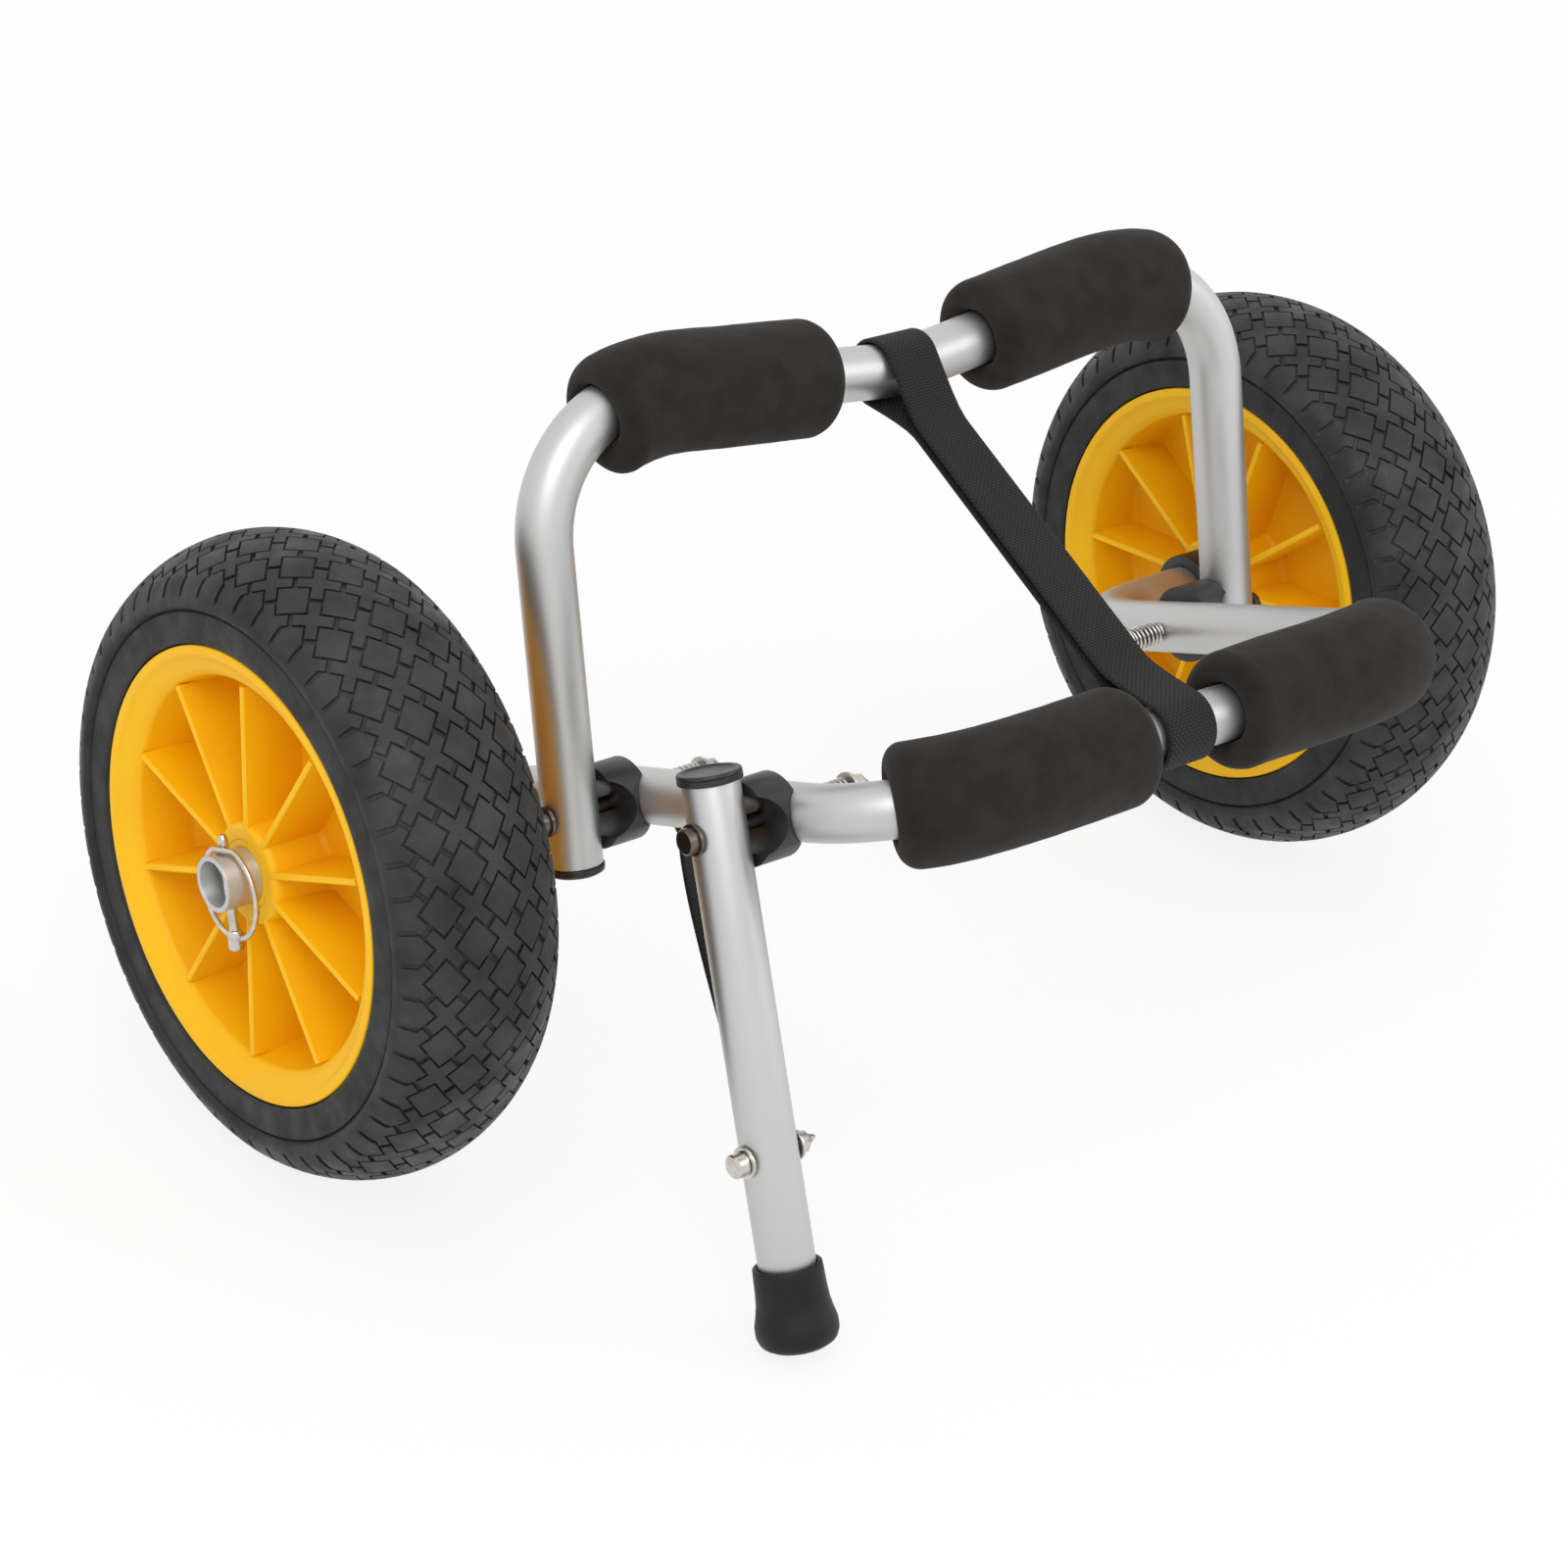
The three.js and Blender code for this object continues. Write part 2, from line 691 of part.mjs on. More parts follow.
// The strap's single run: a strip from the loop's ply to the eye, turned flat against the leg
function standStrip(start) {
  const strip = new THREE.BoxGeometry(standStrapWidth, strapPly, 1, 1, 1, twistSteps);
  const place = strip.attributes.position;
  const flat = strapAlong.clone().cross(new THREE.Vector3(1, 0, 0));
  for (let i = 0; i < place.count; i += 1) {
    const share = start + (1 - start) * (place.getZ(i) + 1 / 2);
    const eased = Math.min(1, share / standStrapReachShare);
    const turn = (Math.PI / 2) * eased ** standStrapTwist;
    const [wide, thick] = [place.getX(i), place.getY(i)];
    const point = strapRoot.clone().addScaledVector(strapRun, share);
    point.x += strapTop.x * eased ** standStrapLean;
    point.x += wide * Math.cos(turn) - thick * Math.sin(turn);
    point.addScaledVector(flat, wide * Math.sin(turn) + thick * Math.cos(turn));
    place.setXYZ(i, point.x, point.y, point.z);
  }
  return strip;
}

function standStrap() {
  const inner = aroundRound(crossHole, smallSides);
  const outer = inner + strapPly;
  const half = standStrapWidth / 2;
  const band = [[-half, inner], [-half, outer], [half, outer], [half, inner], [-half, inner]];
  const loop = turnedAlongX(band, smallSides).translate(...strapRoot.toArray());
  const eye = rodAlongX(half, strapPly, roundSides).translate(...strapTop.toArray());
  const strip = standStrip((inner + strapPly / 2) / strapRun.length());
  const strap = cut(join(loop, strip, eye), boltCutter(...strapTop.toArray(), boltHole));
  return strap.rotateX(stand.rotation.x).translate(...stand.position.toArray());
}
piece('stand_strap', standStrap(), webbing, lower);

// Frame strap: a loop sewn round the middle of each bar, with both plies together between the loops
function frameStrap() {
  const upperBar = new THREE.Vector3(0, 0, upperLine.placeAt(upperLine.length / 2).point.z);
  upperBar.applyEuler(upper.rotation).add(upper.position);
  const run = new THREE.Vector3(0, -lowerReach, 0).sub(upperBar);
  const inner = aroundRound(tubeRadius + gap + strapSlack, roundSides);
  const outer = inner + strapPly;

  // Each loop leaves its round along the line that runs on to the neck
  const neck = new THREE.Vector2(strapNeck, strapNeckThickness / 2);
  const leave = neck.angle() + Math.acos(outer / neck.length());
  function roundTheBar(radius) {
    const points = [];
    for (let k = 0; k <= roundSides; k += 1) {
      const angle = leave + ((2 * Math.PI - 2 * leave) * k) / roundSides;
      points.push(new THREE.Vector2(radius * Math.cos(angle), radius * Math.sin(angle)));
    }
    return points;
  }
  const turned = (point) => new THREE.Vector2(run.length() - point.x, -point.y);
  const upperEnd = [neck, ...roundTheBar(outer), new THREE.Vector2(neck.x, -neck.y)];
  const upperHole = [...roundTheBar(inner), new THREE.Vector2(inner / Math.cos(leave), 0)];
  const outline = new THREE.Shape([...upperEnd, ...upperEnd.map(turned)]);
  outline.holes.push(new THREE.Path(upperHole), new THREE.Path(upperHole.map(turned)));
  const strap = new THREE.ExtrudeGeometry(outline, { depth: strapWidth, bevelEnabled: false });
  strap.translate(0, 0, -strapWidth / 2).rotateZ(Math.PI / 2).rotateY(Math.PI / 2);
  strap.applyMatrix4(new THREE.Matrix4().makeShear(0, 0, -frameStrapSkew / run.length(), 0, 0, 0));
  return strap.rotateX(Math.atan2(run.z, run.y)).translate(...upperBar.toArray());
}
piece('frame_strap', frameStrap(), webbing, lower);

// Rim: a deep dish on both faces, with a hub, a lip that holds the tyre, and ribs out to the wall
function rim(ribTurn) {
  const face = rimWidth / 2;
  const seat = rimRadius - rimSeatDrop;
  const wall = rimRadius - rimWallThickness;
  const web = webThickness / 2;
  const bore = aroundRound(tubeRadius + runningGap + bushWall + gap, roundSides);
  const half = [
    [hubEnd, bore],
    [hubEnd, hubDiameter / 2],
    [web, hubDiameter / 2],
    [web, wall - rimWallDraft],
    [hubEnd, wall],
    [face, rimRadius - rimLipWall],
    [face, rimRadius],
    [face - rimLipWidth, rimRadius],
    [face - rimLipWidth - rimSeatSlope, seat],
  ];
  const mirrored = half.map(([along, r]) => [-along, r]).reverse();
  const body = turnedAlongX([...half, ...mirrored, half[0]].reverse(), wheelSides);
  const ribStart = (hubDiameter / 2 + bore) / 2;
  const ribEnd = wall + rimWallDraft / 2;
  const ribs = [];
  for (let k = 0; k < ribCount; k += 1) {
    const rib = new THREE.BoxGeometry(2 * hubEnd, ribThickness, ribEnd - ribStart);
    rib.translate(0, 0, (ribStart + ribEnd) / 2);
    const turn = (2 * Math.PI * k) / ribCount + THREE.MathUtils.degToRad(ribTurn);
    ribs.push(rib.rotateX(turn));
  }
  return join(body, ...ribs);
}

// Airless tyre: an arched tread of raised diamonds in staggered rows, flat bead rings against the
// rim's lips and a foot between them
function tyre() {
  const face = rimWidth / 2;
  const lipRadius = aroundRound(rimRadius + gap, tyreSides);
  const seat = aroundRound(rimRadius - rimSeatDrop + gap, tyreSides);
  const crownCentre = wheelRadius - tyreCrownRadius;
  function onCrown(angle) {
    return [tyreCrownRadius * Math.sin(angle), crownCentre + tyreCrownRadius * Math.cos(angle)];
  }
  const half = [
    [face - rimLipWidth - rimSeatSlope - gap, seat],
    [face - rimLipWidth - gap, lipRadius],
    [face, lipRadius],
    [face, tyreBeadRadius],
    [tyreWidth / 2, tyreWallRadius],
    onCrown(Math.asin(tyreShoulderWidth / 2 / tyreCrownRadius)),
    onCrown((2 * treadRowSpacing) / tyreCrownRadius),
    onCrown(treadRowSpacing / tyreCrownRadius),
  ];
  const mirrored = half.map(([along, r]) => [-along, r]).reverse();
  const profile = [...half, onCrown(0), ...mirrored, half[0]].reverse();
  const body = turnedAlongX(profile, tyreSides);
  const crownRow = half.length + 1;
  const place = body.attributes.position;
  for (let i = 0; i < place.count; i += 1) {
    const row = (i % profile.length) - crownRow;
    const column = Math.floor(i / profile.length);
    if (Math.abs(row) <= treadSideRows && (row + column) % 2 !== 0) {
      const share = 1 - treadRelief / profile[row + crownRow][1];
      place.setXYZ(i, place.getX(i), place.getY(i) * share, place.getZ(i) * share);
    }
  }
  body.computeVertexNormals();
  return body.rotateX(treadAngle);
}

// Plain bush pressed into the hub, running on the axle
function bush() {
  const bore = aroundRound(tubeRadius + runningGap, roundSides);
  const outer = tubeRadius + runningGap + bushWall;
  const outline = [[-hubEnd, bore], [-hubEnd, outer], [hubEnd, outer], [hubEnd, bore], [-hubEnd, bore]];
  return turnedAlongX(outline, roundSides);
}

// Stop collar on the axle, inside the wheel
function collar() {
  const bore = aroundRound(tubeRadius + gap, roundSides);
  const outer = collarDiameter / 2;
  const outline = [[0, bore], [0, outer], [collarWidth, outer], [collarWidth, bore], [0, bore]];
  return turnedAlongX(outline, roundSides);
}

// Lock pin: a round pin up through the axle, whose drilled head below carries its ring
function lockPin() {
  const headTop = lockRingHole - ringHinge;
  const headLow = headTop - lockPinHeadHeight;
  const body = turnedAlongZ(
    [
      [headLow, 0],
      [headLow, lockPinHeadDiameter / 2],
      [headTop, lockPinHeadDiameter / 2],
      [headTop, lockPinDiameter / 2],
      [lockPinRise - lockPinTip, lockPinDiameter / 2],
      [lockPinRise, lockPinDiameter / 2 - lockPinChamfer],
      [lockPinRise, 0],
    ],
    smallSides,
  );
  const holeLength = lockPinHeadDiameter + 2 * overrun;
  const hole = new THREE.CylinderGeometry(lockRingHole / 2, lockRingHole / 2, holeLength, smallSides);
  return cut(body, hole.translate(0, 0, -ringHinge));
}

// Lock ring: a round wire hinged in the pin's head, which closes over the tube outside the pin's tip
function lockRing() {
  const clear = (lockPinDiameter + lockRingWire) / 2 + gap;
  const start = lockRingEndGap / 2 / lockRingRadius;
  const points = [];
  for (let k = 0; k <= ringSteps; k += 1) {
    const angle = start + ((2 * Math.PI - 2 * start) * k) / ringSteps;
    const y = lockRingRadius * Math.sin(angle);
    const z = -lockRingRadius * Math.cos(angle);
    const nearTip = z > 0 ? Math.max(0, 1 - (y / (2 * clear)) ** 2) : 0;
    points.push(new THREE.Vector3(clear * nearTip ** 2, y, z - lockRingDrop));
  }
  const curve = new THREE.CatmullRomCurve3(points);
  const tangents = points.map((point, k) => curve.getTangent(k / ringSteps));
  return rodAlong(new Centreline(points, tangents), lockRingWire / 2, ringSides);
}

for (const [name, side, ribTurn] of [['left', -1, leftRibTurn], ['right', 1, rightRibTurn]]) {
  const wheel = new THREE.Group();
  wheel.position.x = (side * wheelSpacing) / 2;
  cart.add(wheel);
  piece(`wheel_${name}_rim`, rim(ribTurn), rimPlastic, wheel);
  piece(`wheel_${name}_tyre`, tyre(), tyreRubber, wheel);
  piece(`wheel_${name}_bush`, bush(), rimPlastic, wheel);

  const fittings = new THREE.Group();
  fittings.rotation.z = side < 0 ? Math.PI : 0;
  cart.add(fittings);
  const stop = piece(`axle_collar_${name}`, collar(), blackPlastic, fittings);
  stop.position.x = wheelSpacing / 2 - hubEnd - gap - collarWidth;
  const lock = new THREE.Group();
  lock.position.x = pinX;
  lock.rotation.x = -side * pinLean;
  fittings.add(lock);
  piece(`lock_pin_${name}`, lockPin(), steel, lock);
  piece(`lock_ring_${name}`, lockRing(), steel, lock);
}

// The part stands on the ground with the middle of its box over the origin
cart.updateMatrixWorld(true);
const box = new THREE.Box3().setFromObject(cart, true);
const middle = box.getCenter(new THREE.Vector3());
cart.position.set(-middle.x, -middle.y, -box.min.z);
cart.updateMatrixWorld(true);

// Places of the joints, in metres from the part's origin
function printPlace(name, parent, x, y, z) {
  const place = parent.localToWorld(new THREE.Vector3(x, y, z)).divideScalar(1000);
  console.log(name, place.toArray().map((value) => Number(value.toFixed(6))));
}
printPlace('axle', cart, wheelSpacing / 2, 0, 0);
printPlace('frame pivot', upper, 0, 0, 0);
printPlace('stand pivot', stand, 0, 0, 0);
printPlace('lock ring hinge', cart, pinX, -ringHinge * Math.sin(pinLean), -ringHinge * Math.cos(pinLean));
printPlace('sole', stand, 0, 0, -soleDrop);
printPlace('upper bar', upper, 0, 0, upperHeight - upperSag);
printPlace('lower bar', lower, 0, -lowerReach, 0);

export default cart;
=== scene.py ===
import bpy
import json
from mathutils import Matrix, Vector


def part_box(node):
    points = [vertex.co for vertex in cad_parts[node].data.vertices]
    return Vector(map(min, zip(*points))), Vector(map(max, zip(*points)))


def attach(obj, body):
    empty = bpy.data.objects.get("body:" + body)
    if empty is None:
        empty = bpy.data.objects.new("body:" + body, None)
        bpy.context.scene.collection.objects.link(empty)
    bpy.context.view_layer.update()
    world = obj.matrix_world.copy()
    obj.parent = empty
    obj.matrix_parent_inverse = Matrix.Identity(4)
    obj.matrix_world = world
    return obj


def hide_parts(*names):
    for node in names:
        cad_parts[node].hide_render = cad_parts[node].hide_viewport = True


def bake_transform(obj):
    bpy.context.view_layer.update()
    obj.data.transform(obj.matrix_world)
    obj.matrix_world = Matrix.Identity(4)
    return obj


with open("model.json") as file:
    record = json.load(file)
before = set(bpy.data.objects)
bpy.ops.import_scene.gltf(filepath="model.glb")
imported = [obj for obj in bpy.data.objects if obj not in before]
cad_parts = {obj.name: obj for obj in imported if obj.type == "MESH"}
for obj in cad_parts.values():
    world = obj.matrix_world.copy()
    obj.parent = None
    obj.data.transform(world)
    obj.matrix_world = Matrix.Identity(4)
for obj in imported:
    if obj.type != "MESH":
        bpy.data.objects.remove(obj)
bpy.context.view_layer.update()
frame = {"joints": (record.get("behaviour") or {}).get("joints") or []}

import json
from math import acos, asin, atan2, cos, hypot, pi, radians, sin, tan

import bmesh
import bpy
import numpy as np
from mathutils import Matrix, Vector
from mathutils import noise as waves

# The low frame, the high frame and the stand are drawn aluminium tube, 22 mm across with a 2 mm
# wall. The frames are bent cold round a former. The metal is satin anodised and has a soft sheen,
# which varies a little from place to place.
tube_radius = 0.011
tube_wall = 0.002
tube_ease = 0.0003
tube_sides = 56
bend_steps = 22
leg_x = 0.147
outer_x = 0.179
axle_end_x = 0.303
low_reach = 0.214
low_rise = radians(23.1)
high_lean = radians(16.6)
high_height = 0.1595
high_sag = 0.020
high_tail = 0.0195
stand_top = 0.019
frame_bend = 0.050
axle_bend = 0.038
sag_bend = 0.120

# Parts that are fitted to one another stand this far apart, and edges flatter than the soft angle
# are shaded smooth. The noises of the materials lie almost wholly inside noise_spread.
seat_gap = 0.0003
soft_angle = 35
noise_spread = (0.3, 0.7)
both_sides = (("left", -1), ("right", 1))

places = {joint["name"]: Vector(joint["pos_m"]) for joint in frame["joints"]}
axle = Vector((0, *places["wheel_right_spin"][1:]))
high_pivot = Vector((0, *places["frame_fold"][1:]))
stand_pivot = places["kickstand_swing"]
x_way = Vector((1, 0, 0))
forward = Vector((0, -cos(low_rise), sin(low_rise)))
low_up = Vector((0, sin(low_rise), cos(low_rise)))
high_up = Vector((0, sin(high_lean), cos(high_lean)))
down_stand = -low_up


def add_node(tree, kind, inputs=None, **settings):
    """Adds a node to a tree, sets its settings, and links or fills its inputs."""
    made = tree.nodes.new(kind)
    for key, value in settings.items():
        setattr(made, key, value)
    for key, value in (inputs or {}).items():
        if isinstance(value, bpy.types.NodeSocket):
            tree.links.new(value, made.inputs[key])
        else:
            made.inputs[key].default_value = value
    return made


def maths(tree, operation, *values):
    """The result of one operation on sockets or numbers."""
    made = add_node(tree, "ShaderNodeMath", dict(enumerate(values)), operation=operation)
    return made.outputs[0]


def ranged(tree, value, given, wanted):
    """A value carried over from the range that it is given in to the wanted one."""
    limits = {"From Min": given[0], "From Max": given[1], "To Min": wanted[0], "To Max": wanted[1]}
    return add_node(tree, "ShaderNodeMapRange", {"Value": value, **limits}).outputs["Result"]


def geometry_tree(name, sizes):
    """Starts a Geometry Nodes tree with an input for each size, and returns it and its two ends."""
    tree = bpy.data.node_groups.new(name, "GeometryNodeTree")
    tree.interface.new_socket("Geometry", in_out="INPUT", socket_type="NodeSocketGeometry")
    for label, kind in sizes.items():
        tree.interface.new_socket(label, in_out="INPUT", socket_type="NodeSocket" + kind)
    tree.interface.new_socket("Geometry", in_out="OUTPUT", socket_type="NodeSocketGeometry")
    return tree, tree.nodes.new("NodeGroupInput"), tree.nodes.new("NodeGroupOutput")


def swept(tree, begin, curve, caps):
    """Sweeps a circle of the tree's own Radius and Sides along a curve."""
    section = add_node(
        tree, "GeometryNodeCurvePrimitiveCircle",
        {"Resolution": begin.outputs["Sides"], "Radius": begin.outputs["Radius"]},
    )
    return add_node(
        tree, "GeometryNodeCurveToMesh",
        {"Curve": curve, "Profile Curve": section.outputs["Curve"], "Fill Caps": caps},
    ).outputs["Mesh"]


def new_piece(name, vertices, faces, edges=()):
    mesh = bpy.data.meshes.new(name)
    mesh.from_pydata([tuple(v) for v in vertices], list(edges), [tuple(f) for f in faces])
    mesh.update()
    piece = bpy.data.objects.new(name, mesh)
    bpy.context.scene.collection.objects.link(piece)
    return piece


def joined(name, *parts):
    """One mesh piece from several lists of points and faces."""
    points, faces = [], []
    for part_points, part_faces in parts:
        first = len(points)
        points += [tuple(p) for p in part_points]
        faces += [tuple(first + v for v in face) for face in part_faces]
    return new_piece(name, points, faces)


def lifted(piece):
    """The points and faces of a piece, which is then removed."""
    points = [vertex.co.copy() for vertex in piece.data.vertices]
    faces = [tuple(face.vertices) for face in piece.data.polygons]
    bpy.data.objects.remove(piece)
    return points, faces


def skin(rows, count, first=0, wrapped=False):
    """Faces between rows of points, each of them a ring of the same count."""
    faces = []
    for row in range(rows if wrapped else rows - 1):
        low, high = first + row * count, first + (row + 1) % rows * count
        for k in range(count):
            following = (k + 1) % count
            faces.append((low + k, low + following, high + following, high + k))
    return faces


def plain_mesh(piece):
    """Turns a piece and its modifiers into a plain mesh."""
    bpy.context.view_layer.update()
    shown = piece.evaluated_get(bpy.context.evaluated_depsgraph_get())
    mesh = bpy.data.meshes.new_from_object(shown)
    piece.modifiers.clear()
    piece.data = mesh
    return piece


def run_tree(piece, tree, values):
    """Gives a piece the tree with these sizes, and keeps what it makes as a plain mesh."""
    modifier = piece.modifiers.new(tree.name, "NODES")
    modifier.node_group = tree
    for item in tree.interface.items_tree:
        if item.in_out == "INPUT" and item.name in values:
            modifier[item.identifier] = values[item.name]
    return plain_mesh(piece)


def ease_edges(piece, width, segments, sharp):
    """Bevels the edges that are sharper than an angle, and keeps a plain mesh."""
    ease = piece.modifiers.new("eased edges", "BEVEL")
    ease.width, ease.segments = width, segments
    ease.limit_method, ease.angle_limit = "ANGLE", radians(sharp)
    plain_mesh(piece)


def cut_out(piece, tools):
    """Cuts the tools out of a piece, and removes them."""
    for tool in tools:
        cut = piece.modifiers.new("cut", "BOOLEAN")
        cut.operation, cut.object, cut.solver = "DIFFERENCE", tool, "EXACT"
    plain_mesh(piece)
    for tool in tools:
        bpy.data.objects.remove(tool)


def faces_out(piece, join=0.0):
    """Turns all faces of a piece outwards, after joining the points that lie this close."""
    shape = bmesh.new()
    shape.from_mesh(piece.data)
    if join:
        bmesh.ops.remove_doubles(shape, verts=shape.verts, dist=join)
    bmesh.ops.recalc_face_normals(shape, faces=shape.faces)
    shape.to_mesh(piece.data)
    shape.free()


def smoothed(piece, sharp=soft_angle):
    """Shades a piece smooth, apart from the edges that are sharper than an angle."""
    piece.data.shade_smooth()
    piece.data.set_sharp_from_angle(angle=radians(sharp))


def outward(piece, sharp=soft_angle):
    """Joins doubled points, turns all faces outwards and shades the soft edges smooth."""
    faces_out(piece, 1e-6)
    smoothed(piece, sharp)
    return piece


def aimed(piece, start, direction):
    """Turns a piece that was made along the X axis into a direction, and moves it to its start."""
    turn = x_way.rotation_difference(Vector(direction)).to_matrix().to_4x4()
    piece.data.transform(Matrix.Translation(start) @ turn)


def place_piece(piece, material, slot, body, *nodes):
    """Gives a finished piece its material and body, and lets it stand for its CAD nodes."""
    piece.data.materials.clear()
    piece.data.materials.append(material)
    piece.data.polygons.foreach_set("material_index", [0] * len(piece.data.polygons))
    if body:
        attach(piece, body)
    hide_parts(*nodes)
    return piece


def surface(name, colour, roughness, extra):
    """Starts a material, and returns it with its tree, its shader and its Object coordinates."""
    material = bpy.data.materials.new(name)
    material.use_nodes = True
    tree = material.node_tree
    shader = tree.nodes["Principled BSDF"]
    for label, value in {"Base Color": (*colour, 1), "Roughness": roughness, **extra}.items():
        shader.inputs[label].default_value = value
    place = add_node(tree, "ShaderNodeTexCoord").outputs["Object"]
    return material, tree, shader, place


def spotted(tree, place, scale, detail, low=0, high=1):
    """A noise over the piece that runs from low to high."""
    noise = add_node(
        tree, "ShaderNodeTexNoise", {"Vector": place, "Scale": scale, "Detail": detail}
    )
    return ranged(tree, noise.outputs["Fac"], noise_spread, (low, high))


def two_tones(tree, shader, factor, dark, light):
    mix = add_node(tree, "ShaderNodeMix", {"Factor": factor}, data_type="RGBA")
    mix.inputs["A"].default_value = (*dark, 1)
    mix.inputs["B"].default_value = (*light, 1)
    tree.links.new(mix.outputs["Result"], shader.inputs["Base Color"])


def bumped(tree, shader, height, distance, strength, under=None):
    bump = add_node(
        tree, "ShaderNodeBump", {"Height": height, "Distance": distance, "Strength": strength}
    )
    if under:
        tree.links.new(under, bump.inputs["Normal"])
    tree.links.new(bump.outputs["Normal"], shader.inputs["Normal"])
    return bump.outputs["Normal"]


def grain(tree, shader, place, rough, bumps):
    """Lets the roughness follow a noise, and lays bumps from other noises over one another.

    A rough noise has a scale, a detail and two roughnesses; a bump a scale, a detail, a distance
    and a strength.
    """
    if rough:
        tree.links.new(spotted(tree, place, *rough), shader.inputs["Roughness"])
    under = None
    for scale, detail, distance, strength in bumps:
        height = spotted(tree, place, scale, detail)
        under = bumped(tree, shader, height, distance, strength, under)


def grained(name, colour, roughness, tones, rough, bumps, **extra):
    """A material whose tone, roughness and height follow noises; tones ends in its two colours."""
    labels = {label.replace("_", " "): value for label, value in extra.items()}
    material, tree, shader, place = surface(name, colour, roughness, labels)
    scale, detail, dark, light = tones
    two_tones(tree, shader, spotted(tree, place, scale, detail), dark, light)
    grain(tree, shader, place, rough, bumps)
    return material


aluminium = grained(
    "satin aluminium", (0.58, 0.58, 0.575), 0.46, (9, 3, (0.56, 0.56, 0.557), (0.61, 0.61, 0.605)),
    (14, 4, 0.42, 0.50), [(900, 2, 0.00002, 0.5)], Metallic=1.0,
)

tube_tree, begin, end = geometry_tree(
    "bent tube", {"Radius": "Float", "Bend Steps": "Int", "Sides": "Int"}
)
corner_line = add_node(tube_tree, "GeometryNodeMeshToCurve", {"Mesh": begin.outputs["Geometry"]})
bend_radius = add_node(
    tube_tree, "GeometryNodeInputNamedAttribute", {"Name": "bend"}, data_type="FLOAT"
)
filleted = add_node(
    tube_tree, "GeometryNodeFilletCurve",
    {"Curve": corner_line.outputs["Curve"], "Radius": bend_radius.outputs["Attribute"],
     "Count": begin.outputs["Bend Steps"]},
    mode="POLY",
)
tube_swept = swept(tube_tree, begin, filleted.outputs["Curve"], False)
smooth = add_node(tube_tree, "GeometryNodeSetShadeSmooth", {"Geometry": tube_swept})
tube_tree.links.new(smooth.outputs["Geometry"], end.inputs["Geometry"])


def bent_tube(name, corners, bends, body, node, slots=()):
    """A tube along its corners, with a wall turned inwards, its cut ends eased and its slots cut."""
    piece = new_piece(name, corners, [], [(i, i + 1) for i in range(len(corners) - 1)])
    bend = piece.data.attributes.new("bend", "FLOAT", "POINT")
    bend.data.foreach_set("value", [0, *bends, 0])
    sizes = {"Radius": tube_radius, "Bend Steps": bend_steps, "Sides": tube_sides}
    run_tree(piece, tube_tree, sizes)
    faces_out(piece)
    wall = piece.modifiers.new("wall", "SOLIDIFY")
    wall.thickness, wall.offset = tube_wall, -1
    ease_edges(piece, tube_ease, 2, 60)
    if slots:
        cut_out(piece, slots)
        piece.data.set_sharp_from_angle(angle=radians(soft_angle))
    return place_piece(piece, aluminium, "tube", body, node)


def on_low(x, along, up=0.0):
    """A point of the low frame: across the cart, along its legs from the axle, and off their plane."""
    return axle + Vector((x, 0, 0)) + forward * along + low_up * up


def on_high(x, height):
    return high_pivot + Vector((x, 0, 0)) + high_up * height


low_corners = [
    on_low(-axle_end_x, 0), on_low(-leg_x, 0), on_low(-leg_x, low_reach),
    on_low(leg_x, low_reach), on_low(leg_x, 0), on_low(axle_end_x, 0),
]
low_bends = [axle_bend, frame_bend, frame_bend, axle_bend]
bent_tube("low_frame_tube", low_corners, low_bends, "cart", "lower_frame")

high_corners = [
    on_high(-outer_x, -high_tail), on_high(-outer_x, high_height), on_high(0, high_height - high_sag),
    on_high(outer_x, high_height), on_high(outer_x, -high_tail),
]
high_bends = [frame_bend, sag_bend, frame_bend]
bent_tube("high_frame_tube", high_corners, high_bends, "upper", "upper_frame")

# The stand is a straight tube. A slot in its rear wall lets its strap out.
stand_low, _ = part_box("stand_tube")
stand_length = (stand_pivot.z - stand_low.z - tube_radius * sin(low_rise)) / cos(low_rise)
cross_drop = 0.123
cross_middle = stand_pivot + down_stand * cross_drop
strap_rise = high_pivot - cross_middle
strap_rise.x = 0
strap_way = strap_rise.normalized()
slot_half, slot_middle, slot_height = 0.0065, 0.0032, 0.0034
slot_reach = (0.005, 0.027)
slot_steps = 8


def slot_tool():
    """A cutter with rounded ends that follows the stand's strap out through the tube's rear wall."""
    thick = x_way.cross(strap_way)
    points = []
    for reach in slot_reach:
        for side, first in ((1, -pi / 2), (-1, pi / 2)):
            for k in range(slot_steps + 1):
                angle = first + pi * k / slot_steps
                wide = slot_middle + side * (slot_half - slot_height / 2) + slot_height / 2 * cos(angle)
                points.append(
                    cross_middle + strap_way * reach + Vector((wide, 0, 0))
                    + thick * slot_height / 2 * sin(angle)
                )
    count = len(points) // 2
    ends = [tuple(range(count)), tuple(range(count, 2 * count))]
    tool = new_piece("slot", points, skin(2, count) + ends)
    faces_out(tool)
    return tool


bent_tube(
    "stand_leg_tube",
    [stand_pivot - down_stand * stand_top, stand_pivot + down_stand * stand_length],
    [], "stand", "stand_tube", [slot_tool()],
)

# The wheels' rims are one piece moulded in orange-yellow plastic: a barrel with rolled lips, a
# web across its middle and a hub on the axle, stiffened on both faces by ten thin ribs.
wheel_x = 0.259
hub_radius = 0.020
hub_half = 0.029
hub_bore = 0.01362
web_half = 0.004
rib_count = 10
rib_turn = {"left": radians(28.5), "right": radians(10.5)}
rib_half = 0.0013
rib_outer = 0.0765
rib_ease = 0.0005
rib_draft = 0.0006
rib_root = 0.002
rim_sides = 160

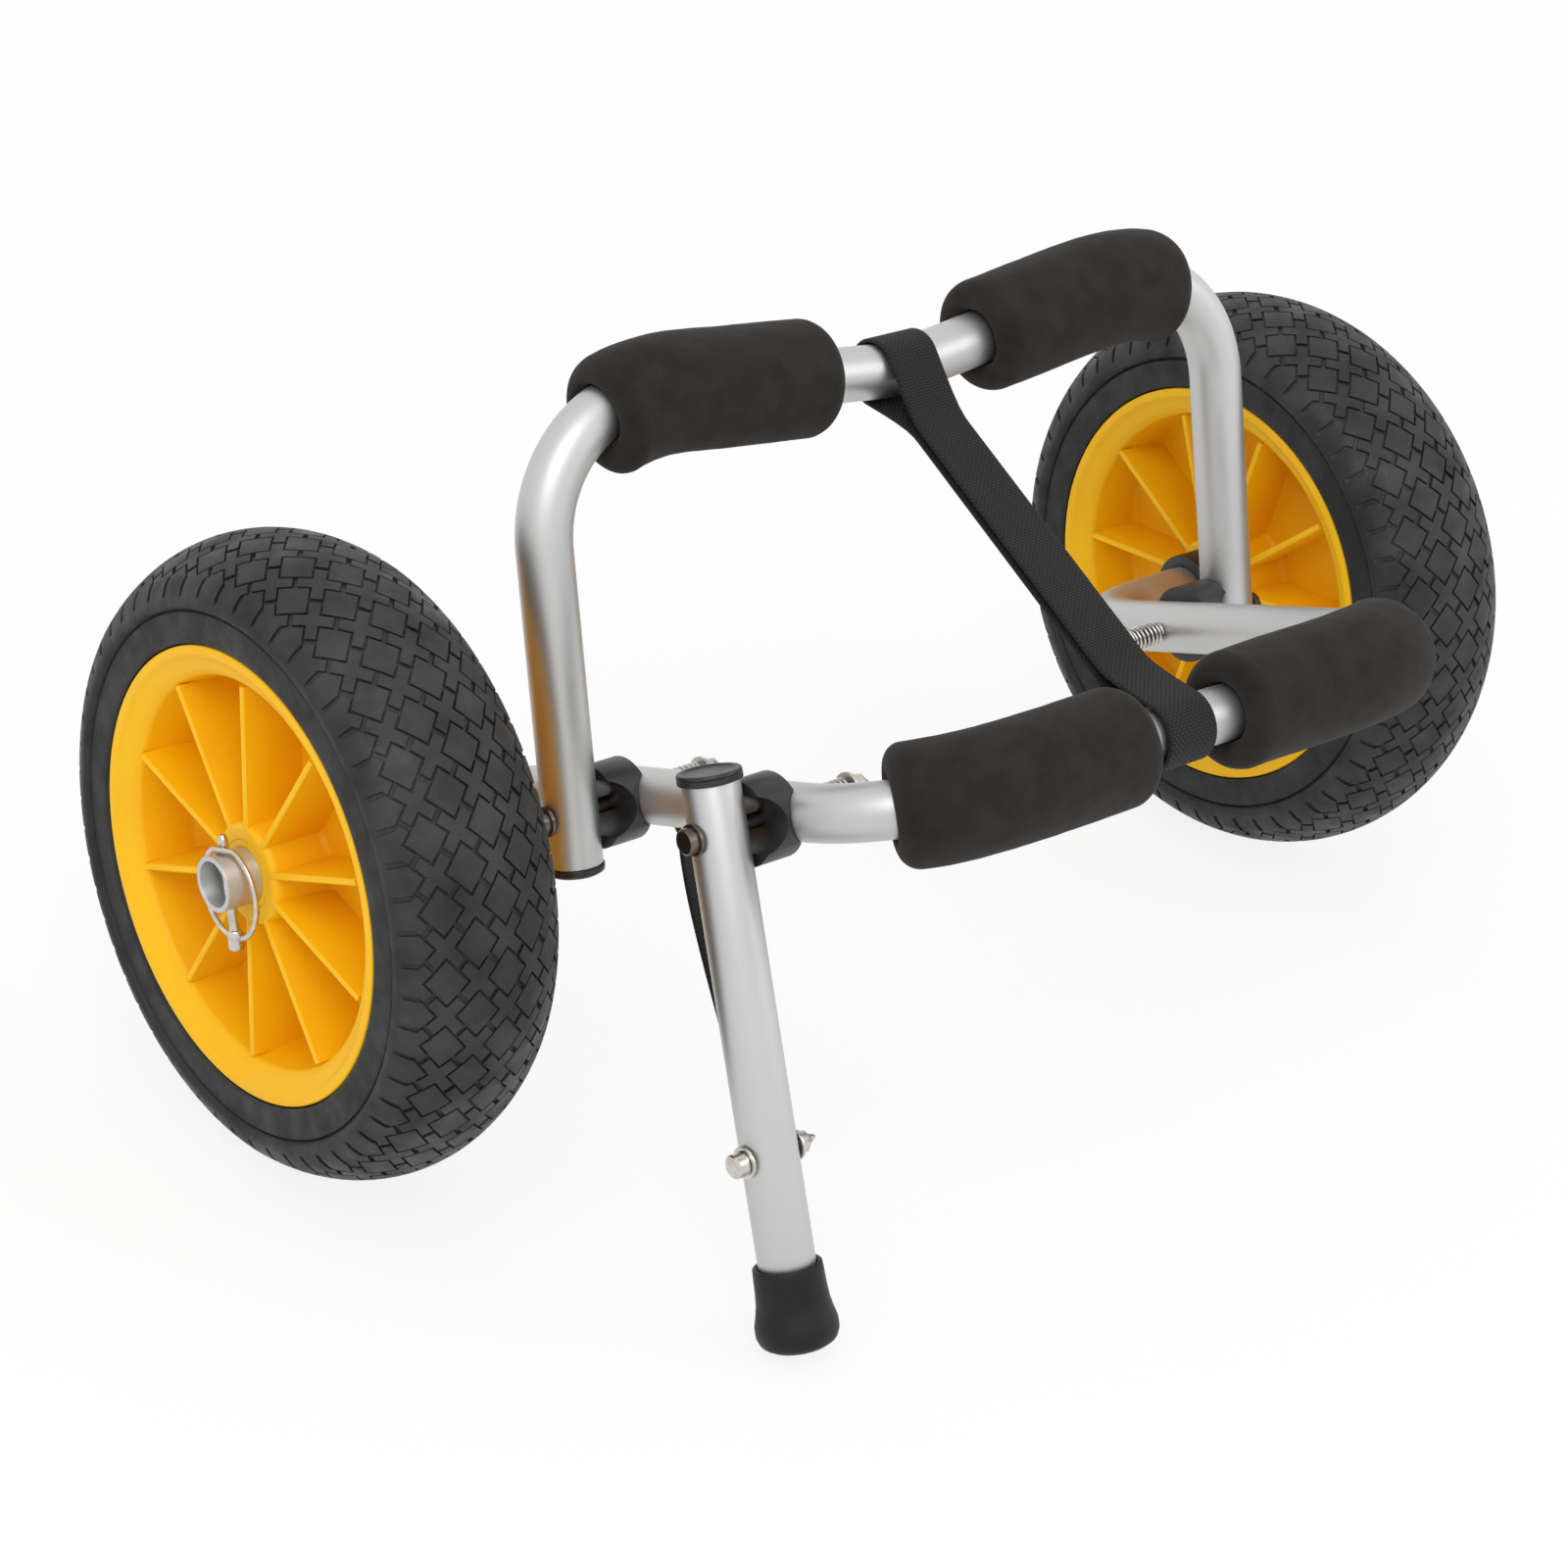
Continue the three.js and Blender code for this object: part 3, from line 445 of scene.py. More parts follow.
rim_plastic = grained(
    "orange moulded plastic", (0.95, 0.52, 0.002), 0.46,
    (22, 3, (0.93, 0.495, 0.0015), (0.97, 0.55, 0.0025)), (60, 4, 0.42, 0.54),
    [(1400, 2, 0.00003, 0.5)],
    Subsurface_Weight=0.2, Subsurface_Radius=(0.005, 0.0025, 0.0004), Specular_IOR_Level=0.3,
)


def turned(profile, sides, closed=True):
    """Points and faces turned about the X axis from a list of (along, radius)."""
    points, faces, rings = [], [], []
    for along, radius in profile:
        first = len(points)
        if radius < 1e-7:
            points.append((along, 0, 0))
            rings.append([first] * sides)
            continue
        for k in range(sides):
            angle = 2 * pi * k / sides
            points.append((along, radius * cos(angle), radius * sin(angle)))
        rings.append(list(range(first, first + sides)))
    pairs = list(zip(rings, rings[1:] + rings[:1])) if closed else list(zip(rings, rings[1:]))
    for low, high in pairs:
        for k in range(sides):
            ring = [low[k], low[(k + 1) % sides], high[(k + 1) % sides], high[k]]
            face = [v for i, v in enumerate(ring) if v != ring[i - 1]]
            if len(set(face)) > 2:
                faces.append(face)
    return points, faces


def ring_profile(low, high, bore, radius):
    """The outline of a plain ring or disc, from one end to the other."""
    return [(low, bore), (low, radius), (high, radius), (high, bore)]


def curved(start, corner, finish, steps):
    """Points along a curve from start to finish, which bends towards the corner."""
    return [
        start.lerp(corner, k / steps).lerp(corner.lerp(finish, k / steps), k / steps)
        for k in range(steps + 1)
    ]


def rounded(profile, radius, steps):
    """The closed profile with its corners rounded, where there is room, to one radius or to each its own."""
    path = [Vector(point) for point in profile]
    result = []
    for i, corner in enumerate(path):
        before, after = path[i - 1] - corner, path[(i + 1) % len(path)] - corner
        angle = before.angle(after, pi)
        size = radius[i] if isinstance(radius, (list, tuple)) else radius
        if angle > radians(172) or size <= 0:
            result.append(tuple(corner))
            continue
        reach = min(size / tan(angle / 2), before.length * 0.45, after.length * 0.45)
        start, finish = corner + before.normalized() * reach, corner + after.normalized() * reach
        result += [tuple(point) for point in curved(start, corner, finish, steps)]
    return result


ring_tree, begin, end = geometry_tree("copies round the axle", {"Copies": "Int"})
copy_line = add_node(
    ring_tree, "GeometryNodeMeshLine", {"Count": begin.outputs["Copies"], "Offset": (0, 0, 0)}
)
copy_index = add_node(ring_tree, "GeometryNodeInputIndex")
copy_step = maths(ring_tree, "DIVIDE", 2 * pi, begin.outputs["Copies"])
copy_angle = maths(ring_tree, "MULTIPLY", copy_index.outputs[0], copy_step)
copy_turn = add_node(ring_tree, "ShaderNodeCombineXYZ", {"X": copy_angle})
copies = add_node(
    ring_tree, "GeometryNodeInstanceOnPoints",
    {"Points": copy_line.outputs["Mesh"], "Instance": begin.outputs["Geometry"],
     "Rotation": copy_turn.outputs[0]},
)
real_copies = add_node(
    ring_tree, "GeometryNodeRealizeInstances", {"Geometry": copies.outputs["Instances"]}
)
ring_tree.links.new(real_copies.outputs["Geometry"], end.inputs["Geometry"])


def rim_rib():
    """One rib of each face, from the hub to the barrel, with eased top edges and a little draft."""
    foot, top = web_half * 0.5, hub_half - rib_ease
    section = [
        (foot, rib_half + rib_draft), (top, rib_half), (hub_half, rib_half - rib_ease),
        (hub_half, rib_ease - rib_half), (top, -rib_half), (foot, -rib_half - rib_draft),
    ]
    count = len(section)
    points, faces = [], []
    for side in (-1, 1):
        first = len(points)
        for radius in (hub_radius - rib_root, rib_outer):
            points += [(side * along, across, radius) for along, across in section]
        faces += skin(2, count, first)
        faces += [tuple(range(first, first + count)), tuple(range(first + count, first + 2 * count))]
    return points, faces


rim_half = [
    (hub_half, hub_bore), (hub_half, hub_radius), (web_half, hub_radius + 0.0015),
    (web_half, 0.0748), (0.0275, 0.0772), (0.0300, 0.0798), (0.0322, 0.0840), (0.0340, 0.0864),
    (0.0340, 0.0900), (0.0290, 0.0900), (0.0260, 0.0842),
]
rim_ease = [0.0004, 0.0035, 0.003, 0.004, 0.004, 0.006, 0.004, 0.0015, 0.0012, 0.001, 0.001]
rim_profile = rim_half + [(-along, radius) for along, radius in reversed(rim_half)]
rim_body = turned(rounded(rim_profile, rim_ease + rim_ease[::-1], 5), rim_sides)
for name, side in both_sides:
    ribs = new_piece(f"rim_ribs_{name}", *rim_rib())
    run_tree(ribs, ring_tree, {"Copies": rib_count})
    ribs.data.transform(Matrix.Rotation(rib_turn[name], 4, "X"))
    rim = joined(f"rim_{name}", rim_body, lifted(ribs))
    rim.data.transform(Matrix.Translation(on_low(side * wheel_x, 0)))
    outward(rim)
    place_piece(rim, rim_plastic, "rim_plastic", f"wheel_{name}", f"wheel_{name}_rim")

# Each tyre is moulded in one piece of matte black foamed rubber and is stretched over the rim's
# lips. Staggered rows of diamonds, with crosses between them, run round its arched crown; its
# shoulders carry short lugs between flutes, above a plain bead ring. A painted sheen makes its
# crown lighter than its sides, over a random dusty mottle.
tyre_radius = 0.127
tyre_sides = 168
crown_radius = 0.048
crown_steps = 30
shoulder_x = 0.031
side_middle = Vector((0.0349, 0.1120))
side_foot = Vector((0.0360, 0.1062))
side_steps = 12
tread_pitches = 28
pitch = 2 * pi * tyre_radius / tread_pitches
tread_row = 0.012
tread_depth = 0.0013
tread_facet = 0.003
groove_half = 0.0004
arm_gap = 0.0010
flute_gap = 0.0002
block_ease = 0.00022
block_root = 0.0003
lug_half = 0.0062
lug_end = 0.0426
tread_turn = radians(5.3)

tyre_rubber, tree, shader, place = surface(
    "tyre rubber", (0.012, 0.012, 0.0118), 0.66, {"Specular IOR Level": 0.42}
)
from_axle = add_node(tree, "ShaderNodeVectorMath", {0: place, 1: tuple(axle)}, operation="SUBTRACT")
in_plane = add_node(
    tree, "ShaderNodeVectorMath", {0: from_axle.outputs[0], 1: (0, 1, 1)}, operation="MULTIPLY"
)
reach_out = add_node(tree, "ShaderNodeVectorMath", {0: in_plane.outputs[0]}, operation="LENGTH")
# Painted sheen: the tyre is painted lighter out at its crown and darker down its sides and bead; the noise
# over it is a random dusty mottle.
painted_crown_sheen = ranged(tree, reach_out.outputs["Value"], (0.102, 0.112), (0.3, 1))
dust_and_crown_sheen = maths(tree, "MULTIPLY", spotted(tree, place, 45, 5), painted_crown_sheen)
two_tones(tree, shader, dust_and_crown_sheen, (0.006, 0.006, 0.0058), (0.032, 0.032, 0.0312))
grain(tree, shader, place, (80, 5, 0.42, 0.72), [(1100, 4, 0.00012, 0.8), (130, 4, 0.00035, 0.7)])


def tyre_outline():
    """The tyre's outline, close together, from the crown's middle to where its side turns in."""
    last = asin(shoulder_x / crown_radius)
    top = tyre_radius - crown_radius
    line = []
    for k in range(crown_steps + 1):
        angle = last * k / crown_steps
        line.append(Vector((crown_radius * sin(angle), top + crown_radius * cos(angle))))
    return line + curved(line[-1], side_middle, side_foot, side_steps)[1:]


side_line = tyre_outline()
side_lengths = np.cumsum([0] + [(b - a).length for a, b in zip(side_line, side_line[1:])])


def on_tyre(around, across, height):
    """A point of the tyre: round it from a diamond, across it from its middle, and off its outline."""
    low = int(np.clip(np.searchsorted(side_lengths, abs(across)) - 1, 0, len(side_line) - 2))
    share = (abs(across) - side_lengths[low]) / (side_lengths[low + 1] - side_lengths[low])
    run = (side_line[low + 1] - side_line[low]).normalized()
    spot = side_line[low].lerp(side_line[low + 1], share) + Vector((-run.y, run.x)) * height
    angle = around / tyre_radius
    return spot.x * (-1 if across < 0 else 1), spot.y * cos(angle), spot.y * sin(angle)


def block(corners, gaps):
    """A tread block with eased edges, from its corners and how far each side stands back."""
    count = len(corners)
    points = []
    for extra, height in ((0, -tread_depth - block_root), (0, -block_ease), (block_ease, 0)):
        for i, corner in enumerate(corners):
            lines = []
            for k in (i - 1, i):
                start, finish = corners[k], corners[(k + 1) % count]
                run = Vector((finish[0] - start[0], finish[1] - start[1])).normalized()
                lines.append((-run.y, run.x, gaps[k] + extra))
            (a, b, m), (c, d, n) = lines
            whole = a * d - b * c
            x, y = corner[0] + (m * d - b * n) / whole, corner[1] + (a * n - m * c) / whole
            points.append((x, y, height))
    return points, skin(3, count) + [tuple(range(2 * count, 3 * count))]


def lattice_block(around, across, steps, gaps):
    """A block about a middle, from steps along the two slanting directions of the tread."""
    corners = [(around + pitch / 2 * (p + q), across + tread_row * (p - q)) for p, q in steps]
    return block(corners, gaps)


diamond = [(-0.35, -0.35), (-0.35, 0.35), (0.35, 0.35), (0.35, -0.35)]
diamond_gaps = [groove_half] * 4
cross = [
    (0.15, -0.15), (0.15, -0.5), (-0.15, -0.5), (-0.15, -0.15), (-0.5, -0.15), (-0.5, 0.15),
    (-0.15, 0.15), (-0.15, 0.5), (0.15, 0.5), (0.15, 0.15), (0.5, 0.15), (0.5, -0.15),
]
cross_gaps = [groove_half, arm_gap, groove_half] * 4
arm_lug = [
    (lug_half, lug_end), (-lug_half, lug_end), (-lug_half, 0.0344), (-0.00926, 0.0318),
    (-0.00499, 0.0282), (0, 0.0324), (0.00499, 0.0282), (0.00926, 0.0318), (lug_half, 0.0344),
]
arm_lug_gaps = [
    0, flute_gap, groove_half, arm_gap, groove_half, groove_half, arm_gap, groove_half, flute_gap
]
tip_lug = [
    (lug_half, lug_end), (-lug_half, lug_end), (-lug_half, 0.0328), (0, 0.0276), (lug_half, 0.0328),
]
tip_lug_gaps = [0, flute_gap, groove_half, groove_half, flute_gap]


def tread_blocks():
    """The blocks of one pitch, cut into small faces and laid on the tyre's outline."""
    half = pitch / 2
    single = [
        lattice_block(0, 0, diamond, diamond_gaps), lattice_block(half, 0, cross, cross_gaps)
    ]
    paired = [
        lattice_block(half, tread_row, diamond, diamond_gaps),
        lattice_block(0, 2 * tread_row, diamond, diamond_gaps),
        lattice_block(0, tread_row, cross, cross_gaps),
        lattice_block(half, 2 * tread_row, cross, cross_gaps),
        block(arm_lug, arm_lug_gaps),
        block([(a + half, b) for a, b in tip_lug], tip_lug_gaps),
    ]
    mirrored = [
        ([(a, -b, h) for a, b, h in points], [face[::-1] for face in faces]) for points, faces in paired
    ]
    piece = joined("blocks", *single, *paired, *mirrored)
    shape = bmesh.new()
    shape.from_mesh(piece.data)
    bmesh.ops.triangulate(shape, faces=[face for face in shape.faces if len(face.verts) > 4])
    for way, first, last in (((1, 0, 0), -4, 9), ((0, 1, 0), -14, 14)):
        for k in range(first, last + 1):
            bmesh.ops.bisect_plane(
                shape, geom=shape.verts[:] + shape.edges[:] + shape.faces[:],
                plane_co=Vector(way) * k * tread_facet, plane_no=way, dist=1e-7,
            )
    points = [on_tyre(*vertex.co) for vertex in shape.verts]
    shape.verts.index_update()
    faces = [tuple(vertex.index for vertex in face.verts) for face in shape.faces]
    shape.free()
    bpy.data.objects.remove(piece)
    return points, faces


def carcass_half():
    """Half of the section under the blocks: the tread's floor, the side, the bead and the foot."""
    floor_depth = [
        (0, tread_depth), (0.026, tread_depth), (0.034, 0.0011), (0.0395, 0.0010), (0.0410, 0.0007),
        (0.0418, 0.0002), (0.0423, -0.00004), (0.0431, 0),
    ]
    distances = [0.0022 * k for k in range(19)] + [distance for distance, _ in floor_depth[3:]]
    half = []
    for distance in sorted({round(d, 5) for d in distances}):
        depth = np.interp(distance, *zip(*floor_depth))
        half.append(on_tyre(0, distance, -depth)[:2])
    return half + [
        (0.0359, 0.1058), (0.0355, 0.1050), (0.0346, 0.1041), (0.0339, 0.1037), (0.0333, 0.1034),
        (0.0335, 0.1031), (0.0341, 0.1027), (0.0343, 0.1020), (0.0343, 0.0930), (0.0342, 0.0914),
        (0.0336, 0.0906), (0.0290, 0.0905), (0.0262, 0.0848),
    ]


tyre_half = carcass_half()
tyre_section = tyre_half + [(-along, radius) for along, radius in reversed(tyre_half[1:])]
pitch_blocks = tread_blocks()
for name, side in both_sides:
    carcass = outward(new_piece(f"carcass_{name}", *turned(tyre_section, tyre_sides)))
    blocks = new_piece(f"tread_{name}", *pitch_blocks)
    run_tree(blocks, ring_tree, {"Copies": tread_pitches})
    tyre = joined(f"tyre_{name}", lifted(carcass), lifted(blocks))
    turn = Matrix.Rotation(tread_turn, 4, "X")
    tyre.data.transform(Matrix.Translation(on_low(side * wheel_x, 0)) @ turn)
    smoothed(tyre)
    place_piece(tyre, tyre_rubber, "tyre", f"wheel_{name}", f"wheel_{name}_tyre")

# A plain sleeve of the rim's own plastic lines each hub and turns on the axle. A black moulded
# collar is pushed on to the axle inside each wheel and keeps it off the frame.
bush_bore = 0.01108
bush_radius = 0.01358
bush_ease = 0.0002
collar_bore = 0.0112
collar_radius = 0.016
collar_width = 0.017
collar_ease = 0.0007
collar_x = wheel_x - hub_half - seat_gap - collar_width

black_plastic = grained(
    "black moulded plastic", (0.015, 0.015, 0.016), 0.42,
    (60, 3, (0.011, 0.011, 0.012), (0.020, 0.020, 0.021)), (120, 3, 0.34, 0.46),
    [(1800, 2, 0.00003, 0.6)],
)


def turned_piece(name, profile, start, direction, ease, material, slot, body, *nodes, sides=64):
    """A turned piece whose axis runs from start in a direction; its corners are eased."""
    piece = new_piece(name, *turned(rounded(profile, ease, 3), sides))
    aimed(piece, start, direction)
    outward(piece)
    return place_piece(piece, material, slot, body, *nodes)


for name, side in both_sides:
    turned_piece(
        f"hub_sleeve_{name}", ring_profile(-hub_half, hub_half, bush_bore, bush_radius),
        on_low(side * wheel_x, 0), x_way, bush_ease,
        rim_plastic, "rim_plastic", f"wheel_{name}", f"wheel_{name}_bush",
    )
    turned_piece(
        f"axle_collar_ring_{name}", ring_profile(0, collar_width, collar_bore, collar_radius),
        on_low(side * collar_x, 0), x_way * side, collar_ease,
        black_plastic, "black_plastic", "cart", f"axle_collar_{name}",
    )

# Black moulded plugs close the cut ends of the high frame and the stand: a thin flange over the
# tube's end, and a stem pushed into its bore. The stand's is thicker, with a shallow dish.
cap_radius = 0.0115
cap_thickness = 0.0035
cap_gap = 0.0002
plug_radius = 0.0085
plug_length = 0.012
plug_stem = [(-plug_length, 0), (-plug_length, plug_radius), (0, plug_radius)]
cap_profile = plug_stem + [
    (0, cap_radius), (cap_thickness * 0.7, cap_radius), (cap_thickness, cap_radius * 0.86),
    (cap_thickness * 1.05, 0),
]
cap_ease = [0, 0, 0, 0.0004, 0.0008, 0.001, 0]
stand_cap_radius = 0.0123
stand_cap_thickness = 0.004
stand_cap_floor = stand_cap_thickness - 0.0006
stand_cap_profile = plug_stem + [
    (0, stand_cap_radius), (0.0021, stand_cap_radius), (0.0024, stand_cap_radius - 0.0004),
    (0.0027, stand_cap_radius), (stand_cap_thickness, stand_cap_radius - 0.0002),
    (stand_cap_thickness, 0.0104), (stand_cap_floor, 0.0094), (stand_cap_floor, 0),
]
stand_cap_ease = [0, 0, 0, 0.0004, 0.0001, 0.0001, 0.0001, 0.0008, 0.0005, 0.0005, 0]

for name, side in both_sides:
    turned_piece(
        f"frame_plug_{name}", cap_profile, on_high(side * outer_x, -high_tail - cap_gap), -high_up,
        cap_ease, black_plastic, "black_plastic", "upper", f"cap_upper_{name}",
    )
turned_piece(
    "stand_plug", stand_cap_profile, stand_pivot - down_stand * (stand_top + cap_gap), -down_stand,
    stand_cap_ease, black_plastic, "black_plastic", "stand", "stand_cap",
)

# The stand's foot is a black rubber boot pushed on to the tube. It flares from a thin lip at the
# top to a rounded sole, which is square to the tube and so meets the ground on its rear edge.
foot_length = 0.032
foot_floor = 0.007
foot_end = stand_length + foot_floor + seat_gap
foot_profile = [
    (0, 0), (0, 0.0110), (0.0020, 0.0145), (0.0055, 0.0159), (0.0095, 0.01585), (0.0135, 0.0148),
    (0.0175, 0.0140), (0.0230, 0.0136), (0.0290, 0.0134), (foot_length, 0.0132),
    (foot_length, 0.0114), (foot_floor, 0.0113), (foot_floor, 0),
]
foot_ease = [0, 0.002, 0.004, 0.005, 0.005, 0.006, 0.006, 0.006, 0.004, 0.0007, 0.0005, 0.0005, 0]

foot_rubber = grained(
    "black boot rubber", (0.006, 0.006, 0.0061), 0.55,
    (70, 4, (0.004, 0.004, 0.004), (0.009, 0.009, 0.009)), (150, 3, 0.46, 0.60),
    [(1300, 3, 0.00005, 0.7)], Specular_IOR_Level=0.3,
)
turned_piece(
    "stand_boot", foot_profile, stand_pivot + down_stand * foot_end, -down_stand, foot_ease,
    foot_rubber, "foot_rubber", "stand", "stand_foot", sides=96,
)

# Three saddles sit on the pivot bolts between the tubes: short black moulded cylinders, hollowed
# at both ends. The inner end wraps the low frame's leg; the tube outside rests on two horns.
saddle_radius = 0.0165
saddle_grip = 0.006
saddle_inner = leg_x + tube_radius - saddle_grip
saddle_outer = outer_x - tube_radius - seat_gap
saddle_ease = 0.0009
saddle_sides = 96
groove_depth = 0.008
groove_gaps = {"inner": 0.0002, "outer": 0.0004}
cutter_half = 0.03


def cutter(radius, middle):
    profile = ring_profile(-cutter_half, cutter_half, 0, radius)
    tool = new_piece("cutter", *turned(profile, saddle_sides, False))
    aimed(tool, middle, forward)
    return outward(tool)


def saddle(name, side, along, node):
    profile = ring_profile(saddle_inner, saddle_outer, 0, saddle_radius)
    piece = new_piece(name, *turned(profile, saddle_sides, False))
    flip = Matrix.Rotation(pi, 4, "Z") if side < 0 else Matrix.Identity(4)
    piece.data.transform(Matrix.Translation(on_low(0, along)) @ flip)
    outward(piece)
    outer_middle = saddle_outer - groove_depth + tube_radius
    cut_out(piece, [
        cutter(tube_radius + groove_gaps["inner"], on_low(side * leg_x, along)),
        cutter(tube_radius + groove_gaps["outer"], on_low(side * outer_middle, along)),
    ])
    ease_edges(piece, saddle_ease, 3, 30)
    outward(piece, 40)
    return place_piece(piece, black_plastic, "black_plastic", "cart", node)


pivot_along = (high_pivot - axle).dot(forward)
stand_along = (stand_pivot - axle).dot(forward)
saddle("saddle_left", -1, pivot_along, "pivot_saddle_left")
saddle("saddle_right", 1, pivot_along, "pivot_saddle_right")
saddle("saddle_stand", -1, stand_along, "stand_saddle")

# Bolts, nuts and washers are plated steel, and that of the pivot bolts is dark. Each pivot bolt
# has a round head outside the tube, and its end inside carries a stiff coil spring, a washer and
# a nut that keep it tight.
bolt_radius = 0.003
bolt_gap = 0.0003
bolt_head = {"radius": 0.005, "height": 0.005, "flange": 0.006}
bolt_end = 0.003
bolt_point = 0.0008
bolt_sides = 40
flange_height = 0.0013
head_top_share, head_side_share = 0.86, 0.88
neck_share, point_share = 0.9, 0.3
thread_length = 0.013
thread_pitch = 0.0008
thread_fall, thread_rise = 0.0003, 0.0006
thread_core = 0.86
nut_across = 0.010
nut_height = 0.005
nut_sides = 72
nut_face_share, nut_corner_share, nut_taper = 0.96, 1.16, 0.16
spring_length = 0.019
spring_radius = 0.0049
spring_wire = 0.0006
spring_turns = 8
spring_steps = 28
washer_radius = 0.007
washer_thickness = 0.0015
washer_ease = 0.0003
strap_ply = 0.0018

steel = grained(
    "plated steel", (0.60, 0.575, 0.53), 0.27, (260, 3, (0.52, 0.495, 0.45), (0.68, 0.655, 0.61)),
    (400, 3, 0.2, 0.34), [(2500, 2, 0.00002, 0.6)], Metallic=1.0,
)
dark_steel = grained(
    "dark plated steel", (0.15, 0.125, 0.105), 0.3, (300, 3, (0.11, 0.09, 0.075), (0.20, 0.17, 0.145)),
    None, [(2500, 2, 0.00002, 0.6)], Metallic=1.0,
)


def hexagon_nut(name, start, across, height, direction, body, node):
    """A hexagon nut whose corners are turned off at both ends."""
    apothem = across / 2
    face, corner = apothem * nut_face_share, apothem * nut_corner_share
    levels = [
        (0, bolt_radius), (0, face), (height * nut_taper, corner),
        (height * (1 - nut_taper), corner), (height, face), (height, bolt_radius),
    ]
    points, faces = turned(levels, nut_sides)
    hexed = []
    for x, y, z in points:
        radius, angle = hypot(y, z), atan2(z, y)
        flat = apothem / cos((angle + pi / 6) % (pi / 3) - pi / 6)
        limit = min(radius, flat) / radius if radius > bolt_radius * 1.05 else 1
        hexed.append((x, y * limit, z * limit))
    piece = new_piece(name, hexed, faces)
    aimed(piece, start, direction)
    outward(piece, 25)
    return place_piece(piece, steel, "steel", body, node)


def bolt(name, start, direction, radius, head, length, point, metal, body, node):
    """A bolt whose head's under side is at start: a flanged head, a turned thread and a tapered end."""
    height, wide, flange = head["height"], head["radius"], head["flange"]
    profile = [
        (-height, 0), (-height, wide * head_top_share), (-height * head_side_share, wide),
        (-flange_height, wide), (-flange_height, flange), (0, flange), (0, radius),
    ]
    along = length - thread_length
    profile.append((along, radius))
    while along < length - point - thread_pitch:
        profile += [(along + thread_fall, radius * thread_core), (along + thread_rise, radius)]
        along += thread_pitch
    profile += [(length - point, radius * neck_share), (length, radius * point_share), (length, 0)]
    piece = new_piece(name, *turned(profile, bolt_sides))
    aimed(piece, start, direction)
    outward(piece)
    return place_piece(piece, metal, "steel", body, node)


wire_tree, begin, end = geometry_tree("round wire", {"Radius": "Float", "Sides": "Int"})
wire_line = add_node(wire_tree, "GeometryNodeMeshToCurve", {"Mesh": begin.outputs["Geometry"]})
wire_swept = swept(wire_tree, begin, wire_line.outputs["Curve"], True)
wire_tree.links.new(wire_swept, end.inputs["Geometry"])


def wire(name, points, radius, body, node, sides=12):
    piece = new_piece(name, points, [], [(i, i + 1) for i in range(len(points) - 1)])
    run_tree(piece, wire_tree, {"Radius": radius, "Sides": sides})
    outward(piece, 60)
    return place_piece(piece, steel, "steel", body, node)


def pivot_hardware(label, side, along, nodes):
    """Bolt, spring, washer and nut through one pivot, from the outer tube's far side inwards."""
    inward = Vector((-side, 0, 0))
    seat = leg_x - tube_radius - (strap_ply + seat_gap if label == "left" else 0)
    washer_x = seat - spring_length - washer_thickness
    nut_x = washer_x - seat_gap - nut_height
    head_x = outer_x + tube_radius + seat_gap
    bolt(
        f"bolt_{label}", on_low(side * head_x, along), inward, bolt_radius, bolt_head,
        head_x - nut_x + bolt_end, bolt_point, dark_steel, "cart", nodes["bolt"],
    )
    coil = []
    start = on_low(side * (seat - seat_gap - spring_wire), along)
    steps = spring_turns * spring_steps
    wound = spring_length - 2 * seat_gap - 2 * spring_wire
    for k in range(steps + 1):
        share = k / steps
        eased = 0.5 * (1 - cos(pi * share)) * 0.25 + share * 0.75
        angle = 2 * pi * spring_turns * share
        coil.append(
            start + inward * wound * eased
            + forward * spring_radius * cos(angle) + low_up * spring_radius * sin(angle)
        )
    wire(f"coil_{label}", coil, spring_wire, "cart", nodes["spring"])
    turned_piece(
        f"washer_{label}", ring_profile(0, washer_thickness, bolt_radius + bolt_gap, washer_radius),
        on_low(side * (washer_x + washer_thickness), along), inward, washer_ease,
        steel, "steel", "cart", nodes["washer"],
    )
    hexagon_nut(
        f"hexagon_{label}", on_low(side * (nut_x + nut_height), along), nut_across, nut_height,
        inward, "cart", nodes["nut"],
    )


for label, side, along, start, finish in (
    ("left", -1, pivot_along, "pivot", "_left"), ("right", 1, pivot_along, "pivot", "_right"),
    ("stand", -1, stand_along, "stand", ""),
):
    pivot_hardware(
        label, side, along,
        {kind: f"{start}_{kind}{finish}" for kind in ("bolt", "spring", "washer", "nut")},
    )

# The stand's cross bolt carries the loop of the stand's strap inside the tube. It has a washer on
# both sides and a nut, and its pointed end stands out.
cross_radius = 0.0025
cross_head = {"radius": 0.0047, "height": 0.005, "flange": 0.0047}
cross_end = 0.009
cross_point = 0.0034
cross_plate = 0.0012
cross_plate_radius = 0.00625
cross_nut_across, cross_nut_height = 0.008, 0.004
cross_washer_x = tube_radius + seat_gap
cross_nut_x = cross_washer_x + cross_plate + seat_gap
bolt(
    "cross_bolt", cross_middle - x_way * cross_nut_x, x_way, cross_radius, cross_head,
    2 * cross_nut_x + cross_end, cross_point, steel, "stand", "stand_cross_bolt",
)
for name, start, node in (
    ("cross_washer", cross_washer_x, "stand_cross_washer"),
    ("head_washer", -cross_washer_x - cross_plate, "stand_cross_head_washer"),
):
    turned_piece(
        name, ring_profile(0, cross_plate, cross_radius + bolt_gap, cross_plate_radius),
        cross_middle + x_way * start, x_way, washer_ease, steel, "steel", "stand", node,
    )
hexagon_nut(
    "cross_nut", cross_middle + x_way * cross_nut_x, cross_nut_across, cross_nut_height,
    x_way, "stand", "stand_cross_nut",
)

